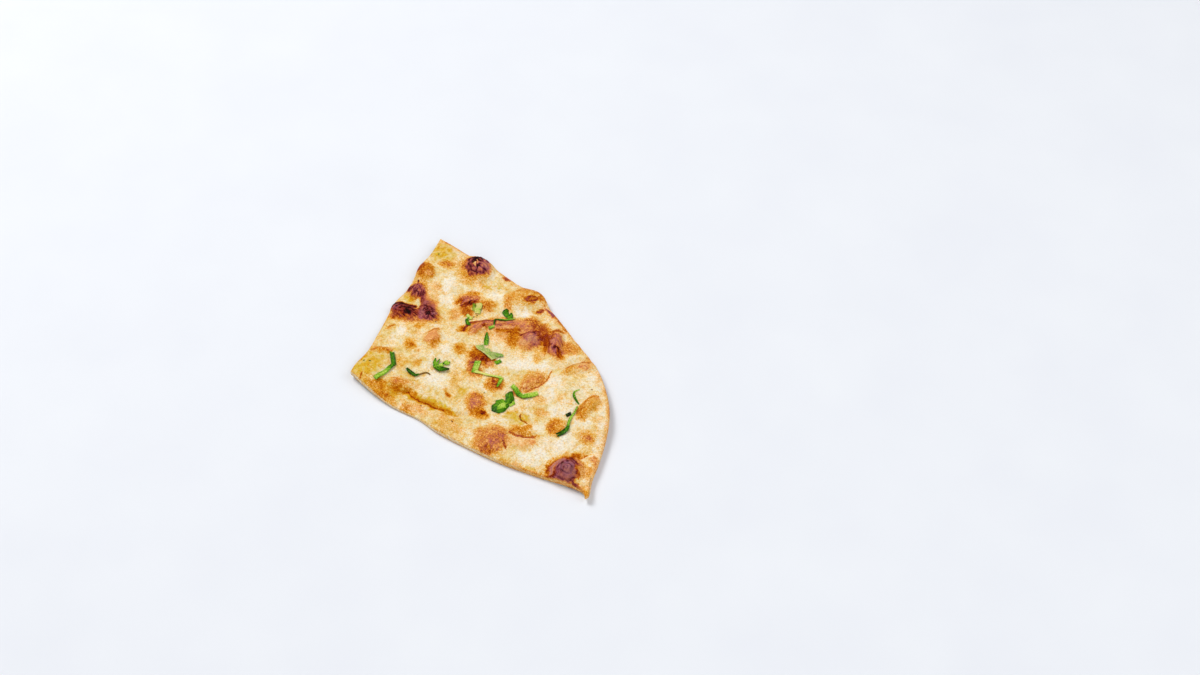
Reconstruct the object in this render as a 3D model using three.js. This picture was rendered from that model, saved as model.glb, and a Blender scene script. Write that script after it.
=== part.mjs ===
// A quarter of an oval naan, cut with a knife, with chopped coriander scattered on it.
// Millimetres, +Z up. +X runs along the long cut, from the middle of the bread to its rim.

import * as THREE from 'three';

// ---- Driving dimensions ----

const CRUMB_THICKNESS = 4.2;
const CUT_THICKNESS = 2.7;
const RIM_THICKNESS = 2.3;
const CUT_ROUNDING = 4.5;
const RIM_ROUNDING = 7.0;
const CUT_BULGE = 0.25;
const RIM_BULGE = 1.1;
const UNDERSIDE_CURL = 0.9;
const UNDERSIDE_CURL_WIDTH = 7.0;
const LEAF_THICKNESS = 0.45;
const LEAF_CLEARANCE = 0.35;

// Grid lines along and across the long cut. The underside uses every second one.
const CELLS_ALONG = 60;
const CELLS_ACROSS = 44;
const EDGE_CROWDING = 0.45;
const RIM_SPLIT = 0.42;

// The three edges seen from above, from the point where the two cuts meet.
const LONG_CUT = edge([
  [-0.4, 0.9], [13, -2.2], [28, -4.1], [45, -3.5], [58, -5.1], [76, -4.9], [95, -3.7],
  [115, -0.4], [130, 2.4], [137, 2.9], [140.1, 1.6], [141.6, -0.2],
]);
const RIM = edge([
  [141.6, -0.2], [142.7, 1.6], [141.6, 4.8], [138.8, 10.5], [135.5, 21.1], [130.3, 35.1],
  [124, 47.6], [115.2, 58.7], [100.9, 71], [85.2, 78.9], [72.3, 85.8], [58.2, 92.3],
  [48, 98.2], [35, 98], [24, 99.3], [11, 101.2], [0, 100.4], [-19.2, 101.2],
]);
const SHORT_CUT = edge([
  [-0.4, 0.9], [-1.6, 6.5], [-2.1, 17], [-5.4, 29], [-9.3, 42], [-12, 52], [-12.4, 64],
  [-16.2, 79], [-16.6, 89], [-19.2, 101.2],
]);

// Where the underside leaves the table: the three corners and the rim's right shoulder.
const LIFTS = {
  middle_corner: { at: [0, 0], reach: 38, rise: 1.6 },
  far_corner: { at: [-18, 102], reach: 48, rise: 2.0 },
  right_shoulder: { at: [118, 62], reach: 58, rise: 2.4 },
  tip: { at: [143, 0], reach: 30, rise: 0.9 },
};

// Blisters: centre, half length and half width, turn in degrees from +X, and height.
const BLISTERS = {
  short_cut_dome: { at: [-10.7, 76.7], half: [6.2, 4.9], turn: 132, rise: 3.0 },
  short_cut_char: { at: [-6.5, 64.1], half: [5.9, 4.5], turn: 140, rise: 2.5 },
  char_link: { at: [2.4, 59.9], half: [5.7, 3.6], turn: 129, rise: 1.5 },
  char_flap: { at: [-3.4, 49.0], half: [8.4, 4.2], turn: 0, rise: 3.0 },
  char_curl: { at: [9.5, 54.7], half: [5.2, 4.4], turn: 154, rise: 2.5 },
  pink_dome: { at: [20.2, 42.0], half: [5.7, 4.4], turn: 107, rise: 2.0 },
  left_spot: { at: [12.7, 32.7], half: [3.8, 3.0], turn: 136, rise: 0.8 },
  middle_spot: { at: [35.6, 43.2], half: [3.5, 2.7], turn: 137, rise: 0.7 },
  left_edge_fold: { at: [3.4, 21.8], half: [6.1, 2.0], turn: 29, rise: 0.9 },
  rim_char_dome: { at: [10.6, 94.8], half: [9.0, 7.1], turn: 139, rise: 5.4 },
  upper_brown: { at: [19.5, 72.1], half: [6.7, 4.9], turn: 53, rise: 1.8 },
  upper_brown_right: { at: [29.5, 74.9], half: [5.3, 3.7], turn: 164, rise: 1.2 },
  upper_brown_low: { at: [22.5, 67.0], half: [4.5, 3.9], turn: 159, rise: 0.8 },
  rim_amber_dome: { at: [44.7, 91.4], half: [10.3, 7.8], turn: 39, rise: 3.5 },
  rim_amber_lobe: { at: [37.1, 85.3], half: [6.2, 3.2], turn: 115, rise: 1.0 },
  rim_edge_brown: { at: [60.5, 89.3], half: [6.7, 1.5], turn: 162, rise: 0.8 },
  rim_inner_fold: { at: [53.8, 87.3], half: [3.7, 2.1], turn: 17, rise: 0.8 },
  ridge_left: { at: [35.2, 61.0], half: [6.9, 3.6], turn: 68, rise: 2.5 },
  ridge_middle: { at: [47.7, 68.8], half: [11.2, 5.5], turn: 26, rise: 2.2 },
  ridge_right: { at: [56.5, 78.2], half: [5.9, 4.3], turn: 137, rise: 2.0 },
  char_dome_left: { at: [61.7, 68.2], half: [6.6, 4.7], turn: 82, rise: 3.5 },
  char_saddle: { at: [64.9, 75.1], half: [4.6, 3.7], turn: 157, rise: 1.2 },
  char_dome_right: { at: [74.4, 72.9], half: [9.6, 3.8], turn: 120, rise: 3.8 },
  dome_shoulder: { at: [80.8, 76.0], half: [6.1, 4.1], turn: 24, rise: 1.2 },
  leaf_blister: { at: [49.4, 43.2], half: [6.5, 6.1], turn: 20, rise: 2.5 },
  low_blister: { at: [63.8, 34.2], half: [4.7, 4.1], turn: 172, rise: 1.2 },
  brown_oval: { at: [79.5, 45.5], half: [8.6, 4.6], turn: 75, rise: 1.8 },
  rim_ridge_upper: { at: [93.8, 65.0], half: [7.5, 3.4], turn: 41, rise: 2.2 },
  rim_ridge_lower: { at: [112.6, 45.4], half: [8.0, 2.8], turn: 87, rise: 2.2 },
  amber_by_stem: { at: [105.7, 27.0], half: [4.7, 4.2], turn: 94, rise: 1.0 },
  amber_by_rim: { at: [122.3, 30.2], half: [4.6, 4.2], turn: 158, rise: 1.0 },
  tip_char_dome: { at: [125.5, 7.8], half: [8.1, 7.2], turn: 127, rise: 4.5 },
  cut_brown: { at: [84.4, 4.5], half: [9.5, 8.0], turn: 71, rise: 1.6 },
  cut_brown_arrow: { at: [93.1, 16.8], half: [7.0, 3.4], turn: 16, rise: 1.2 },
  pink_lobe: { at: [98.6, 10.7], half: [6.3, 3.8], turn: 33, rise: 1.0 },
  low_amber: { at: [63.6, 20.2], half: [7.2, 4.9], turn: 128, rise: 1.8 },
  crease_ridge: { at: [26.4, 9.3], half: [6.1, 3.3], turn: 20, rise: 1.8 },
};
const BLISTER_SPREAD = 1.3;

// Creases: the line they follow, their depth and half width.
const CREASES = {
  butter_crease: {
    path: [[22.8, 4.7], [27.3, 2.9], [32.7, 7.0], [37.1, 4.9], [47.6, 5.4], [58, 7], [65, 10.8]],
    depth: 1.4,
    width: 1.7,
  },
  oval_crease: {
    path: [[77.7, 36.9], [81.9, 42.1], [83.4, 50.3], [81.7, 59.7]],
    depth: 0.7,
    width: 1.6,
  },
  brown_arrow_crease: {
    path: [[87.6, 12.9], [91.9, 12.7], [100.7, 16.3]],
    depth: 0.7,
    width: 1.4,
  },
  tip_crease: { path: [[123, 13], [126.7, 17.8], [129, 24.4]], depth: 0.8, width: 1.5 },
  shoulder_crease: { path: [[86.6, 61.4], [89.3, 68.1], [95, 73]], depth: 0.8, width: 1.8 },
};

// Below the butter crease the crust steps down towards the long cut.
const STEP = { from: 20, to: 68, line: 5.3, drop: 0.8, run: 2.5 };

// Slow swells of the whole sheet: wave lengths along X and Y, phase and height.
const SWELLS = [
  { lengths: [46, 61], phase: 0.6, height: 0.28 },
  { lengths: [-29, 38], phase: 2.1, height: 0.2 },
  { lengths: [21, 24], phase: 4.0, height: 0.12 },
];

// Coriander: the middle line of each piece and its full width at those points.
// "crown" arches a piece across its width and "wave" ripples it along its length.
const CORIANDER = {
  coriander_bent_strip: {
    path: [[8.5, 23.0], [13.0, 17.8], [15.3, 15.4], [14.2, 10.6], [12.9, 3.1]],
    widths: [2.2, 2.5, 2.6, 2.4, 1.8],
    wave: 0.3,
    colour: 0x3f8f34,
  },
  coriander_curl: {
    path: [[21.8, 18.3], [25.5, 16.6], [28.5, 16.9], [29.9, 19.1], [32.2, 21.9], [34.4, 21.5]],
    widths: [1.2, 1.7, 1.5, 0.8, 0.7, 0.6],
    wave: 0.35,
    colour: 0x2d6418,
  },
  coriander_cluster: {
    path: [[30.0, 31.6], [31.0, 28.2], [34.0, 26.2], [37.4, 26.8], [38.6, 29.4], [36.6, 32.0]],
    widths: [2.0, 3.6, 3.8, 3.4, 3.0, 2.4],
    frill: 0.35,
    wave: 0.5,
    crown: 0.5,
    colour: 0x2f8f22,
  },
  coriander_sprig: {
    path: [[24.6, 65.2], [26.8, 62.8], [29.4, 60.2]],
    widths: [1.2, 3.4, 1.0],
    frill: 0.4,
    wave: 0.3,
    colour: 0x4c7d22,
  },
  coriander_dry_flake: {
    path: [[22.8, 73.2], [25.6, 71.4], [27.4, 68.6]],
    widths: [2.2, 4.2, 2.6],
    frill: 0.25,
    crown: 0.4,
    colour: 0xcbb95a,
  },
  coriander_upper_leaf: {
    path: [[40.8, 65.9], [39.6, 68.5], [41.3, 70.7], [44.9, 72.6], [45.2, 75.2], [42.2, 76.6],
      [39.0, 76.9]],
    widths: [0.9, 0.9, 1.0, 1.3, 3.8, 4.4, 1.6],
    wave: 0.3,
    crown: 0.3,
    colour: 0x2f8a24,
  },
  coriander_bit: {
    path: [[39.9, 62.3], [40.9, 64.4]],
    widths: [1.6, 1.2],
    colour: 0x6f9a34,
  },
  coriander_blade: {
    path: [[40.6, 60.9], [42.9, 57.4], [45.6, 52.9]],
    widths: [1.0, 2.2, 1.5],
    crown: 0.2,
    colour: 0x3f8a26,
  },
  coriander_folded_leaf: {
    path: [[41.8, 50.6], [46.2, 49.6], [50.6, 48.8], [54.4, 48.6]],
    widths: [1.0, 3.4, 5.4, 4.6],
    wave: 0.3,
    crown: -0.3,
    colour: 0x8fae62,
  },
  coriander_scrap: {
    path: [[56.3, 45.0], [57.4, 47.4]],
    widths: [1.4, 1.8],
    colour: 0x6a8a3a,
  },
  coriander_hooked_strip: {
    path: [[49.2, 39.4], [51.0, 34.8], [55.0, 34.2], [59.9, 35.7], [64.4, 37.4], [66.0, 35.4],
      [66.9, 31.9]],
    widths: [2.7, 2.5, 1.7, 1.3, 1.5, 1.2, 0.9],
    wave: 0.25,
    colour: 0x8cc65a,
  },
  coriander_big_leaf: {
    path: [[71.8, 19.6], [74.6, 21.8], [77.2, 24.8], [77.6, 28.4], [75.0, 33.6]],
    widths: [3.0, 6.8, 5.4, 6.0, 2.6],
    frill: 0.22,
    wave: 0.4,
    crown: 0.5,
    colour: 0x2f8f26,
  },
  coriander_wavy_strip: {
    path: [[72.3, 37.8], [75.3, 36.4], [78.2, 34.9], [81.4, 34.6], [83.8, 36.9], [86.0, 40.6]],
    widths: [1.8, 2.3, 2.2, 2.4, 2.2, 1.8],
    wave: 0.3,
    colour: 0x6cb848,
  },
  coriander_thin_stem: {
    path: [[101.9, 53.4], [101.0, 50.8], [102.2, 48.2], [104.9, 46.5], [107.2, 45.6]],
    widths: [0.9, 1.0, 1.1, 1.0, 0.8],
    wave: 0.2,
    colour: 0x4a7d2a,
  },
  coriander_dark_bit: {
    path: [[105.4, 35.4], [106.4, 38.6]],
    widths: [1.5, 2.0],
    colour: 0x1f2a18,
  },
  coriander_leafy_stem: {
    path: [[107.0, 43.4], [108.4, 39.1], [109.2, 35.2], [111.4, 30.5], [111.2, 27.0],
      [109.5, 23.0]],
    widths: [0.9, 1.2, 1.5, 1.4, 2.0, 2.4],
    frill: 0.15,
    wave: 0.3,
    colour: 0x4f8a2c,
  },
};
const RIBBON_STEP = 1.5;
const FRILL_LENGTH = 3.0;
const WAVE_LENGTH = 9.0;

// ---- Small helpers ----

/** A smooth open line through points in plan. */
function edge(points) {
  return new THREE.CatmullRomCurve3(points.map(([x, y]) => new THREE.Vector3(x, y, 0)), false, 'catmullrom');
}

/** A 0 to 1 ramp with level ends. */
function ramp(value, low, high) {
  return THREE.MathUtils.smoothstep(value, low, high);
}

/** Distance in plan from (x, y) to the nearest of a line's short segments. */
function distanceToLine(x, y, line) {
  let nearest = Infinity;
  for (let i = 1; i < line.length; i++) {
    const dx = line[i].x - line[i - 1].x;
    const dy = line[i].y - line[i - 1].y;
    const along = ((x - line[i - 1].x) * dx + (y - line[i - 1].y) * dy) / (dx * dx + dy * dy);
    const t = THREE.MathUtils.clamp(along, 0, 1);
    nearest = Math.min(nearest, Math.hypot(x - line[i - 1].x - t * dx, y - line[i - 1].y - t * dy));
  }
  return nearest;
}

const cutLines = [LONG_CUT, SHORT_CUT].map((curve) => curve.getSpacedPoints(120));
const rimLine = RIM.getSpacedPoints(160);
const creaseLines = Object.values(CREASES).map((crease) => ({
  ...crease,
  line: edge(crease.path).getSpacedPoints(24),
}));

// ---- Heights of the bread's two faces ----

/** How far the underside is off the table. */
function liftAt(x, y) {
  let lift = 0;
  for (const { at, reach, rise } of Object.values(LIFTS)) {
    const inside = Math.max(0, 1 - ((x - at[0]) ** 2 + (y - at[1]) ** 2) / reach ** 2);
    lift += rise * inside ** 2;
  }
  return lift;
}

function undersideAt(x, y) {
  const nearRim = Math.max(0, 1 - distanceToLine(x, y, rimLine) / UNDERSIDE_CURL_WIDTH);
  return liftAt(x, y) + UNDERSIDE_CURL * nearRim ** 2;
}

/** Thickness of the plain sheet, thinner towards the cuts and thinnest at the rim. */
function sheetThickness(x, y) {
  const toCut = Math.min(...cutLines.map((line) => distanceToLine(x, y, line)));
  const fromCut = Math.exp(-toCut / CUT_ROUNDING);
  const fromRim = Math.exp(-distanceToLine(x, y, rimLine) / RIM_ROUNDING);
  const lostAtCut = (CRUMB_THICKNESS - CUT_THICKNESS) * fromCut;
  const lostAtRim = (CRUMB_THICKNESS - RIM_THICKNESS - UNDERSIDE_CURL) * fromRim;
  return CRUMB_THICKNESS - Math.max(lostAtCut, lostAtRim);
}

/** Height of one blister above the sheet. */
function blisterAt(x, y, { at, half, turn, rise }) {
  const angle = THREE.MathUtils.degToRad(turn);
  const dx = x - at[0];
  const dy = y - at[1];
  const along = (dx * Math.cos(angle) + dy * Math.sin(angle)) / half[0];
  const across = (dy * Math.cos(angle) - dx * Math.sin(angle)) / half[1];
  const inside = Math.max(0, 1 - (along ** 2 + across ** 2) / BLISTER_SPREAD ** 2);
  return rise * inside ** 1.5;
}

/** Depth of the step down to the long cut. */
function stepAt(x, y) {
  const ends = ramp(x, STEP.from, STEP.from + 8) * (1 - ramp(x, STEP.to - 14, STEP.to));
  return STEP.drop * ends * ramp(STEP.line - y, 0, STEP.run);
}

function topAt(x, y) {
  let height = liftAt(x, y) + sheetThickness(x, y) - stepAt(x, y);
  for (const { lengths, phase, height: swell } of SWELLS) {
    height += swell * Math.sin(2 * Math.PI * (x / lengths[0] + y / lengths[1]) + phase);
  }
  const heights = Object.values(BLISTERS).map((blister) => blisterAt(x, y, blister));
  const tallest = Math.max(...heights);
  const others = heights.reduce((sum, each) => sum + each, 0) - tallest;
  height += tallest + 0.35 * others;
  for (const { line, depth, width } of creaseLines) {
    height -= depth * Math.exp(-((distanceToLine(x, y, line) / width) ** 2));
  }
  return height;
}

// ---- The bread ----

/** Positions from 0 to 1 that crowd towards both ends. */
function crowded(cells) {
  return Array.from({ length: cells + 1 }, (_, i) => {
    const t = i / cells;
    return t - (EDGE_CROWDING * Math.sin(2 * Math.PI * t)) / (2 * Math.PI);
  });
}

/** The outline's four sides as rows of points, each drawn in by the bulge of its wall. */
function insetSides(along, across) {
  const sides = {
    front: along.map((t) => LONG_CUT.getPointAt(t)),
    right: across.map((t) => RIM.getPointAt(RIM_SPLIT * t)),
    back: along.map((t) => RIM.getPointAt(1 - (1 - RIM_SPLIT) * t)),
    left: across.map((t) => SHORT_CUT.getPointAt(t)),
  };
  const loop = [
    ...sides.front.slice(0, -1),
    ...sides.right.slice(0, -1),
    ...sides.back.slice(1).reverse(),
    ...sides.left.slice(1).reverse(),
  ];
  const inset = loop.map((point, i) => {
    const tangent = loop[(i + 1) % loop.length].clone().sub(loop.at(i - 1)).normalize();
    const toCut = Math.min(...cutLines.map((line) => distanceToLine(point.x, point.y, line)));
    const depth = THREE.MathUtils.lerp(CUT_BULGE, RIM_BULGE, ramp(toCut, 0, 6));
    return new THREE.Vector3(point.x - tangent.y * depth, point.y + tangent.x * depth, 0);
  });
  const corner = { b: along.length - 1, m: along.length + across.length - 2 };
  corner.c = corner.m + along.length - 1;
  return {
    loop,
    inset,
    front: inset.slice(0, corner.b + 1),
    right: inset.slice(corner.b, corner.m + 1),
    back: inset.slice(corner.m, corner.c + 1).reverse(),
    left: [...inset.slice(corner.c), inset[0]].reverse(),
  };
}

/** A point of the patch that spans the four sides. */
function patchPoint({ front, right, back, left }, along, across, i, j) {
  const a = along[i];
  const b = across[j];
  const last = { i: along.length - 1, j: across.length - 1 };
  const sum = new THREE.Vector3();
  sum.addScaledVector(front[i], 1 - b).addScaledVector(back[i], b);
  sum.addScaledVector(left[j], 1 - a).addScaledVector(right[j], a);
  sum.addScaledVector(front[0], -(1 - a) * (1 - b)).addScaledVector(front[last.i], -a * (1 - b));
  sum.addScaledVector(back[0], -(1 - a) * b).addScaledVector(back[last.i], -a * b);
  return sum;
}

/** The closed solid: a fine top, a wall with one belt round its middle, and a coarser underside. */
function breadGeometry() {
  const along = crowded(CELLS_ALONG);
  const across = crowded(CELLS_ACROSS);
  const sides = insetSides(along, across);
  const positions = [];
  const triangles = [];
  const add = (x, y, z) => positions.push(x, y, z) / 3 - 1;
  const fan = (loop) => {
    for (let k = 2; k < loop.length; k++) triangles.push(loop[0], loop[k - 1], loop[k]);
  };

  const plan = along.map((_, i) => across.map((__, j) => patchPoint(sides, along, across, i, j)));
  const top = plan.map((column) => column.map(({ x, y }) => add(x, y, topAt(x, y))));
  const under = plan.map((column, i) => column.map(({ x, y }, j) => {
    const onOutline = i === 0 || j === 0 || i === CELLS_ALONG || j === CELLS_ACROSS;
    return onOutline || (i % 2 === 0 && j % 2 === 0) ? add(x, y, undersideAt(x, y)) : null;
  }));

  for (let i = 0; i < CELLS_ALONG; i++) {
    for (let j = 0; j < CELLS_ACROSS; j++) {
      fan([top[i][j], top[i + 1][j], top[i + 1][j + 1], top[i][j + 1]]);
    }
  }
  for (let i = 0; i < CELLS_ALONG; i += 2) {
    for (let j = 0; j < CELLS_ACROSS; j += 2) {
      const cell = [[0, 0], [0, 1], [0, 2], [1, 2], [2, 2], [2, 1], [2, 0], [1, 0]];
      const loop = cell.map(([di, dj]) => under[i + di][j + dj]).filter((index) => index !== null);
      const inner = under[i === 0 ? 2 : i][j === 0 ? 2 : j];
      const start = loop.indexOf(inner);
      fan([...loop.slice(start), ...loop.slice(0, start)]);
    }
  }

  const ring = (grid) => [
    ...grid.slice(0, -1).map((column) => column[0]),
    ...grid[CELLS_ALONG].slice(0, -1),
    ...grid.slice(1).map((column) => column[CELLS_ACROSS]).reverse(),
    ...grid[0].slice(1).reverse(),
  ];
  const upper = ring(top);
  const lower = ring(under);
  const belt = sides.loop.map(({ x, y }, k) => {
    const middle = (positions[3 * upper[k] + 2] + positions[3 * lower[k] + 2]) / 2;
    return add(x, y, middle);
  });
  for (let k = 0; k < belt.length; k++) {
    const next = (k + 1) % belt.length;
    fan([belt[k], belt[next], upper[next], upper[k]]);
    fan([lower[k], lower[next], belt[next], belt[k]]);
  }

  const geometry = new THREE.BufferGeometry();
  geometry.setAttribute('position', new THREE.Float32BufferAttribute(positions, 3));
  geometry.setIndex(triangles);
  geometry.computeVertexNormals();
  return geometry;
}

// ---- The coriander ----

/** The highest point of the bread within a leaf's facet of (x, y). */
function supportAt(x, y) {
  const reach = 1.3;
  const around = [[0, 0], [reach, 0], [-reach, 0], [0, reach], [0, -reach]];
  return Math.max(...around.map(([dx, dy]) => topAt(x + dx, y + dy)));
}

/** A value that runs smoothly through a list, for 0 <= t <= 1. */
function valueAlong(values, t) {
  const place = t * (values.length - 1);
  const index = Math.min(Math.floor(place), values.length - 2);
  return THREE.MathUtils.lerp(values[index], values[index + 1], ramp(place - index, 0, 1));
}

/** A thin wavy ribbon on the bread, both faces split into the same triangles. */
function coriander({ path, widths, frill = 0, wave = 0, crown = 0 }) {
  const curve = edge(path);
  const length = curve.getLength();
  const steps = Math.max(3, Math.round(length / RIBBON_STEP));
  const columns = Math.max(...widths) > 3 ? 4 : 2;
  const positions = [];
  const triangles = [];
  for (let i = 0; i <= steps; i++) {
    const t = i / steps;
    const { x, y } = curve.getPoint(t);
    const tangent = curve.getTangent(t);
    const ripple = wave * (1 + Math.sin((2 * Math.PI * t * length) / WAVE_LENGTH));
    const scallop = 1 + frill * Math.sin((2 * Math.PI * t * length) / FRILL_LENGTH);
    const half = (valueAlong(widths, t) * scallop) / 2;
    for (const face of [0, 1]) {
      for (let j = 0; j <= columns; j++) {
        const side = (2 * j) / columns - 1;
        const px = x - tangent.y * half * side;
        const py = y + tangent.x * half * side;
        const arch = Math.max(crown, 0) - crown * side ** 2;
        const lift = LEAF_CLEARANCE + arch + ripple + face * LEAF_THICKNESS;
        positions.push(px, py, supportAt(px, py) + lift);
      }
    }
  }

  const row = columns + 1;
  const at = (i, face, j) => (2 * i + face) * row + j;
  const quad = (a, b, c, d) => triangles.push(a, b, c, a, c, d);
  for (let i = 0; i < steps; i++) {
    for (let j = 0; j < columns; j++) {
      quad(at(i, 1, j), at(i + 1, 1, j), at(i + 1, 1, j + 1), at(i, 1, j + 1));
      triangles.push(at(i, 0, j), at(i + 1, 0, j + 1), at(i + 1, 0, j));
      triangles.push(at(i, 0, j), at(i, 0, j + 1), at(i + 1, 0, j + 1));
    }
    quad(at(i, 0, 0), at(i + 1, 0, 0), at(i + 1, 1, 0), at(i, 1, 0));
    quad(at(i, 1, columns), at(i + 1, 1, columns), at(i + 1, 0, columns), at(i, 0, columns));
  }
  for (let j = 0; j < columns; j++) {
    quad(at(0, 0, j), at(0, 1, j), at(0, 1, j + 1), at(0, 0, j + 1));
    quad(at(steps, 0, j), at(steps, 0, j + 1), at(steps, 1, j + 1), at(steps, 1, j));
  }

  const geometry = new THREE.BufferGeometry();
  geometry.setAttribute('position', new THREE.Float32BufferAttribute(positions, 3));
  geometry.setIndex(triangles);
  geometry.computeVertexNormals();
  return geometry;
}

// ---- The object ----

function piece(name, geometry, colour, roughness) {
  const material = new THREE.MeshStandardMaterial({ color: colour, roughness, metalness: 0 });
  const mesh = new THREE.Mesh(geometry, material);
  mesh.name = name;
  return mesh;
}

const naan = new THREE.Group();
naan.add(piece('bread', breadGeometry(), 0xf0d29c, 0.65));
for (const [name, shape] of Object.entries(CORIANDER)) {
  naan.add(piece(name, coriander(shape), shape.colour, 0.5));
}

// The origin is on the table, under the middle of the bread's box.
const box = new THREE.Box3().setFromObject(naan);
const middle = box.getCenter(new THREE.Vector3());
naan.position.set(-middle.x, -middle.y, -box.min.z);

export default naan;
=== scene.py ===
"""Looks of the naan wedge: a browned and buttered crust, cut edges and chopped coriander.

Shapes are worked out in millimetres in the bread's own plan: the origin is where the two cuts
meet and +X runs along the long cut. `to_frame` moves them to the frame, in metres.
"""

import math

import bpy
import numpy as np
from mathutils import Matrix, Vector


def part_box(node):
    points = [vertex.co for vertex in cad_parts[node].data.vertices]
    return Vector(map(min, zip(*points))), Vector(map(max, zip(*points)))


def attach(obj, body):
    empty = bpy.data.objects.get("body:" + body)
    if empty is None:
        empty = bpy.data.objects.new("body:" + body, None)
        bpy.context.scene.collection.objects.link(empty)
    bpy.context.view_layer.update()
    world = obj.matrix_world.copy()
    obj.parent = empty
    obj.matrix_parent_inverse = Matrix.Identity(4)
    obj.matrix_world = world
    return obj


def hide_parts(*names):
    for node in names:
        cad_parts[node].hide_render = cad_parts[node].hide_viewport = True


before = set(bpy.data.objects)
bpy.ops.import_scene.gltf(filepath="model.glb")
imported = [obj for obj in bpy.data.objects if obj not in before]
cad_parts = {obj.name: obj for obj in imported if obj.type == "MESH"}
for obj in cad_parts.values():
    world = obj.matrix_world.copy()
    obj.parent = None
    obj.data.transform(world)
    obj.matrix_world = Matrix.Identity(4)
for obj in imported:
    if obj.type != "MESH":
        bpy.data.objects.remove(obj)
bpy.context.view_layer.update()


# ---- How places and tables are written ----

def numbers(text):
    return [float(word) for word in text.split()]


def places(text):
    """The points x,y of a line in plan."""
    return [tuple(numbers(word.replace(",", " "))) for word in text.split()]


def table(text):
    """Rows of numbers and, where a row has them, the points of a line.

    A row starts with its name. An indented one is named after the row above it, and # starts a heading.
    """
    rows = []
    for row in text.strip().splitlines():
        if row.startswith("#"):
            continue
        words = [word for word in row.split() if not word[0].isalpha()]
        line = [word for word in words if "," in word]
        plain = numbers(" ".join(words[: len(words) - len(line)]))
        rows.append([*plain, places(" ".join(line))] if line else plain)
    return rows


def flat(left, right, shades, **form):
    """A blade of coriander between two edges."""
    return {"left": places(left), "right": places(right), "shades": numbers(shades), **form}


def strip(path, widths, shades, **form):
    """A blade of coriander along a path, with its full width at even distances."""
    return {"path": places(path), "widths": numbers(widths), "shades": numbers(shades), **form}


# ---- Sizes of the sheet, as in the frame's own solids ----

CRUMB_THICKNESS = 4.2
CUT_THICKNESS = 2.7
RIM_THICKNESS = 2.3
CUT_ROUNDING = 4.5
RIM_ROUNDING = 7.0
CUT_BULGE = 0.25
RIM_BULGE = 1.1
UNDERSIDE_CURL = 0.9
UNDERSIDE_CURL_WIDTH = 7.0

LONG_CUT = places("""
    -0.4,0.9 13,-2.2 28,-4.1 45,-3.5 58,-5.1 76,-4.9 95,-3.7 115,-0.4 130,2.4 137,2.9 140.1,1.6
    141.6,-0.2
""")
RIM = places("""
    141.6,-0.2 142.7,1.6 141.6,4.8 138.8,10.5 135.5,21.1 130.3,35.1 124,47.6 115.2,58.7 100.9,71
    85.2,78.9 72.3,85.8 58.2,92.3 48,98.2 35,98 24,99.3 11,101.2 0,100.4 -19.2,101.2
""")
SHORT_CUT = places("""
    -0.4,0.9 -1.6,6.5 -2.1,17 -5.4,29 -9.3,42 -12,52 -12.4,64 -16.2,79 -16.6,89 -19.2,101.2
""")

# Where the underside leaves the table: x, y, reach and rise.
LIFTS = table("""
middle_corner 0 0 38 1.6
far_corner -18 102 48 2
right_shoulder 118 62 58 2.4
tip 143 0 30 0.9
""")

# Blisters: x, y, half length, half width, turn in degrees and rise.
BLISTERS = table("""
short_cut_dome -10.7 76.7 6.2 4.9 132 3
short_cut_char -6.5 64.1 5.9 4.5 140 2.5
char_link 2.4 59.9 5.7 3.6 129 1.5
char_flap -3.4 49 8.4 4.2 0 3
char_curl 9.5 54.7 5.2 4.4 154 2.5
pink_dome 20.2 42 5.7 4.4 107 2
left_spot 12.7 32.7 3.8 3 136 0.8
middle_spot 35.6 43.2 3.5 2.7 137 0.7
left_edge_fold 3.4 21.8 6.1 2 29 0.9
rim_char_dome 10.6 94.8 9 7.1 139 5.4
upper_brown 19.5 72.1 6.7 4.9 53 1.8
 right 29.5 74.9 5.3 3.7 164 1.2
 low 22.5 67 4.5 3.9 159 0.8
rim_amber_dome 44.7 91.4 10.3 7.8 39 3.5
rim_amber_lobe 37.1 85.3 6.2 3.2 115 1
rim_edge_brown 60.5 89.3 6.7 1.5 162 0.8
rim_inner_fold 53.8 87.3 3.7 2.1 17 0.8
ridge_left 35.2 61 6.9 3.6 68 2.5
ridge_middle 47.7 68.8 11.2 5.5 26 2.2
ridge_right 56.5 78.2 5.9 4.3 137 2
char_dome_left 61.7 68.2 6.6 4.7 82 3.5
char_saddle 64.9 75.1 4.6 3.7 157 1.2
char_dome_right 74.4 72.9 9.6 3.8 120 3.8
dome_shoulder 80.8 76 6.1 4.1 24 1.2
leaf_blister 49.4 43.2 6.5 6.1 20 2.5
low_blister 63.8 34.2 4.7 4.1 172 1.2
brown_oval 79.5 45.5 8.6 4.6 75 1.8
rim_ridge_upper 93.8 65 7.5 3.4 41 2.2
rim_ridge_lower 112.6 45.4 8 2.8 87 2.2
amber_by_stem 105.7 27 4.7 4.2 94 1
amber_by_rim 122.3 30.2 4.6 4.2 158 1
tip_char_dome 125.5 7.8 8.1 7.2 127 4.5
cut_brown 84.4 4.5 9.5 8 71 1.6
 arrow 93.1 16.8 7 3.4 16 1.2
pink_lobe 98.6 10.7 6.3 3.8 33 1
low_amber 63.6 20.2 7.2 4.9 128 1.8
crease_ridge 26.4 9.3 6.1 3.3 20 1.8
""")
# How far a blister spreads past its ellipse, and how much of a lower one shows through a higher.
BLISTER_SPREAD = 1.3
BLISTER_SHARE = 0.35

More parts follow.
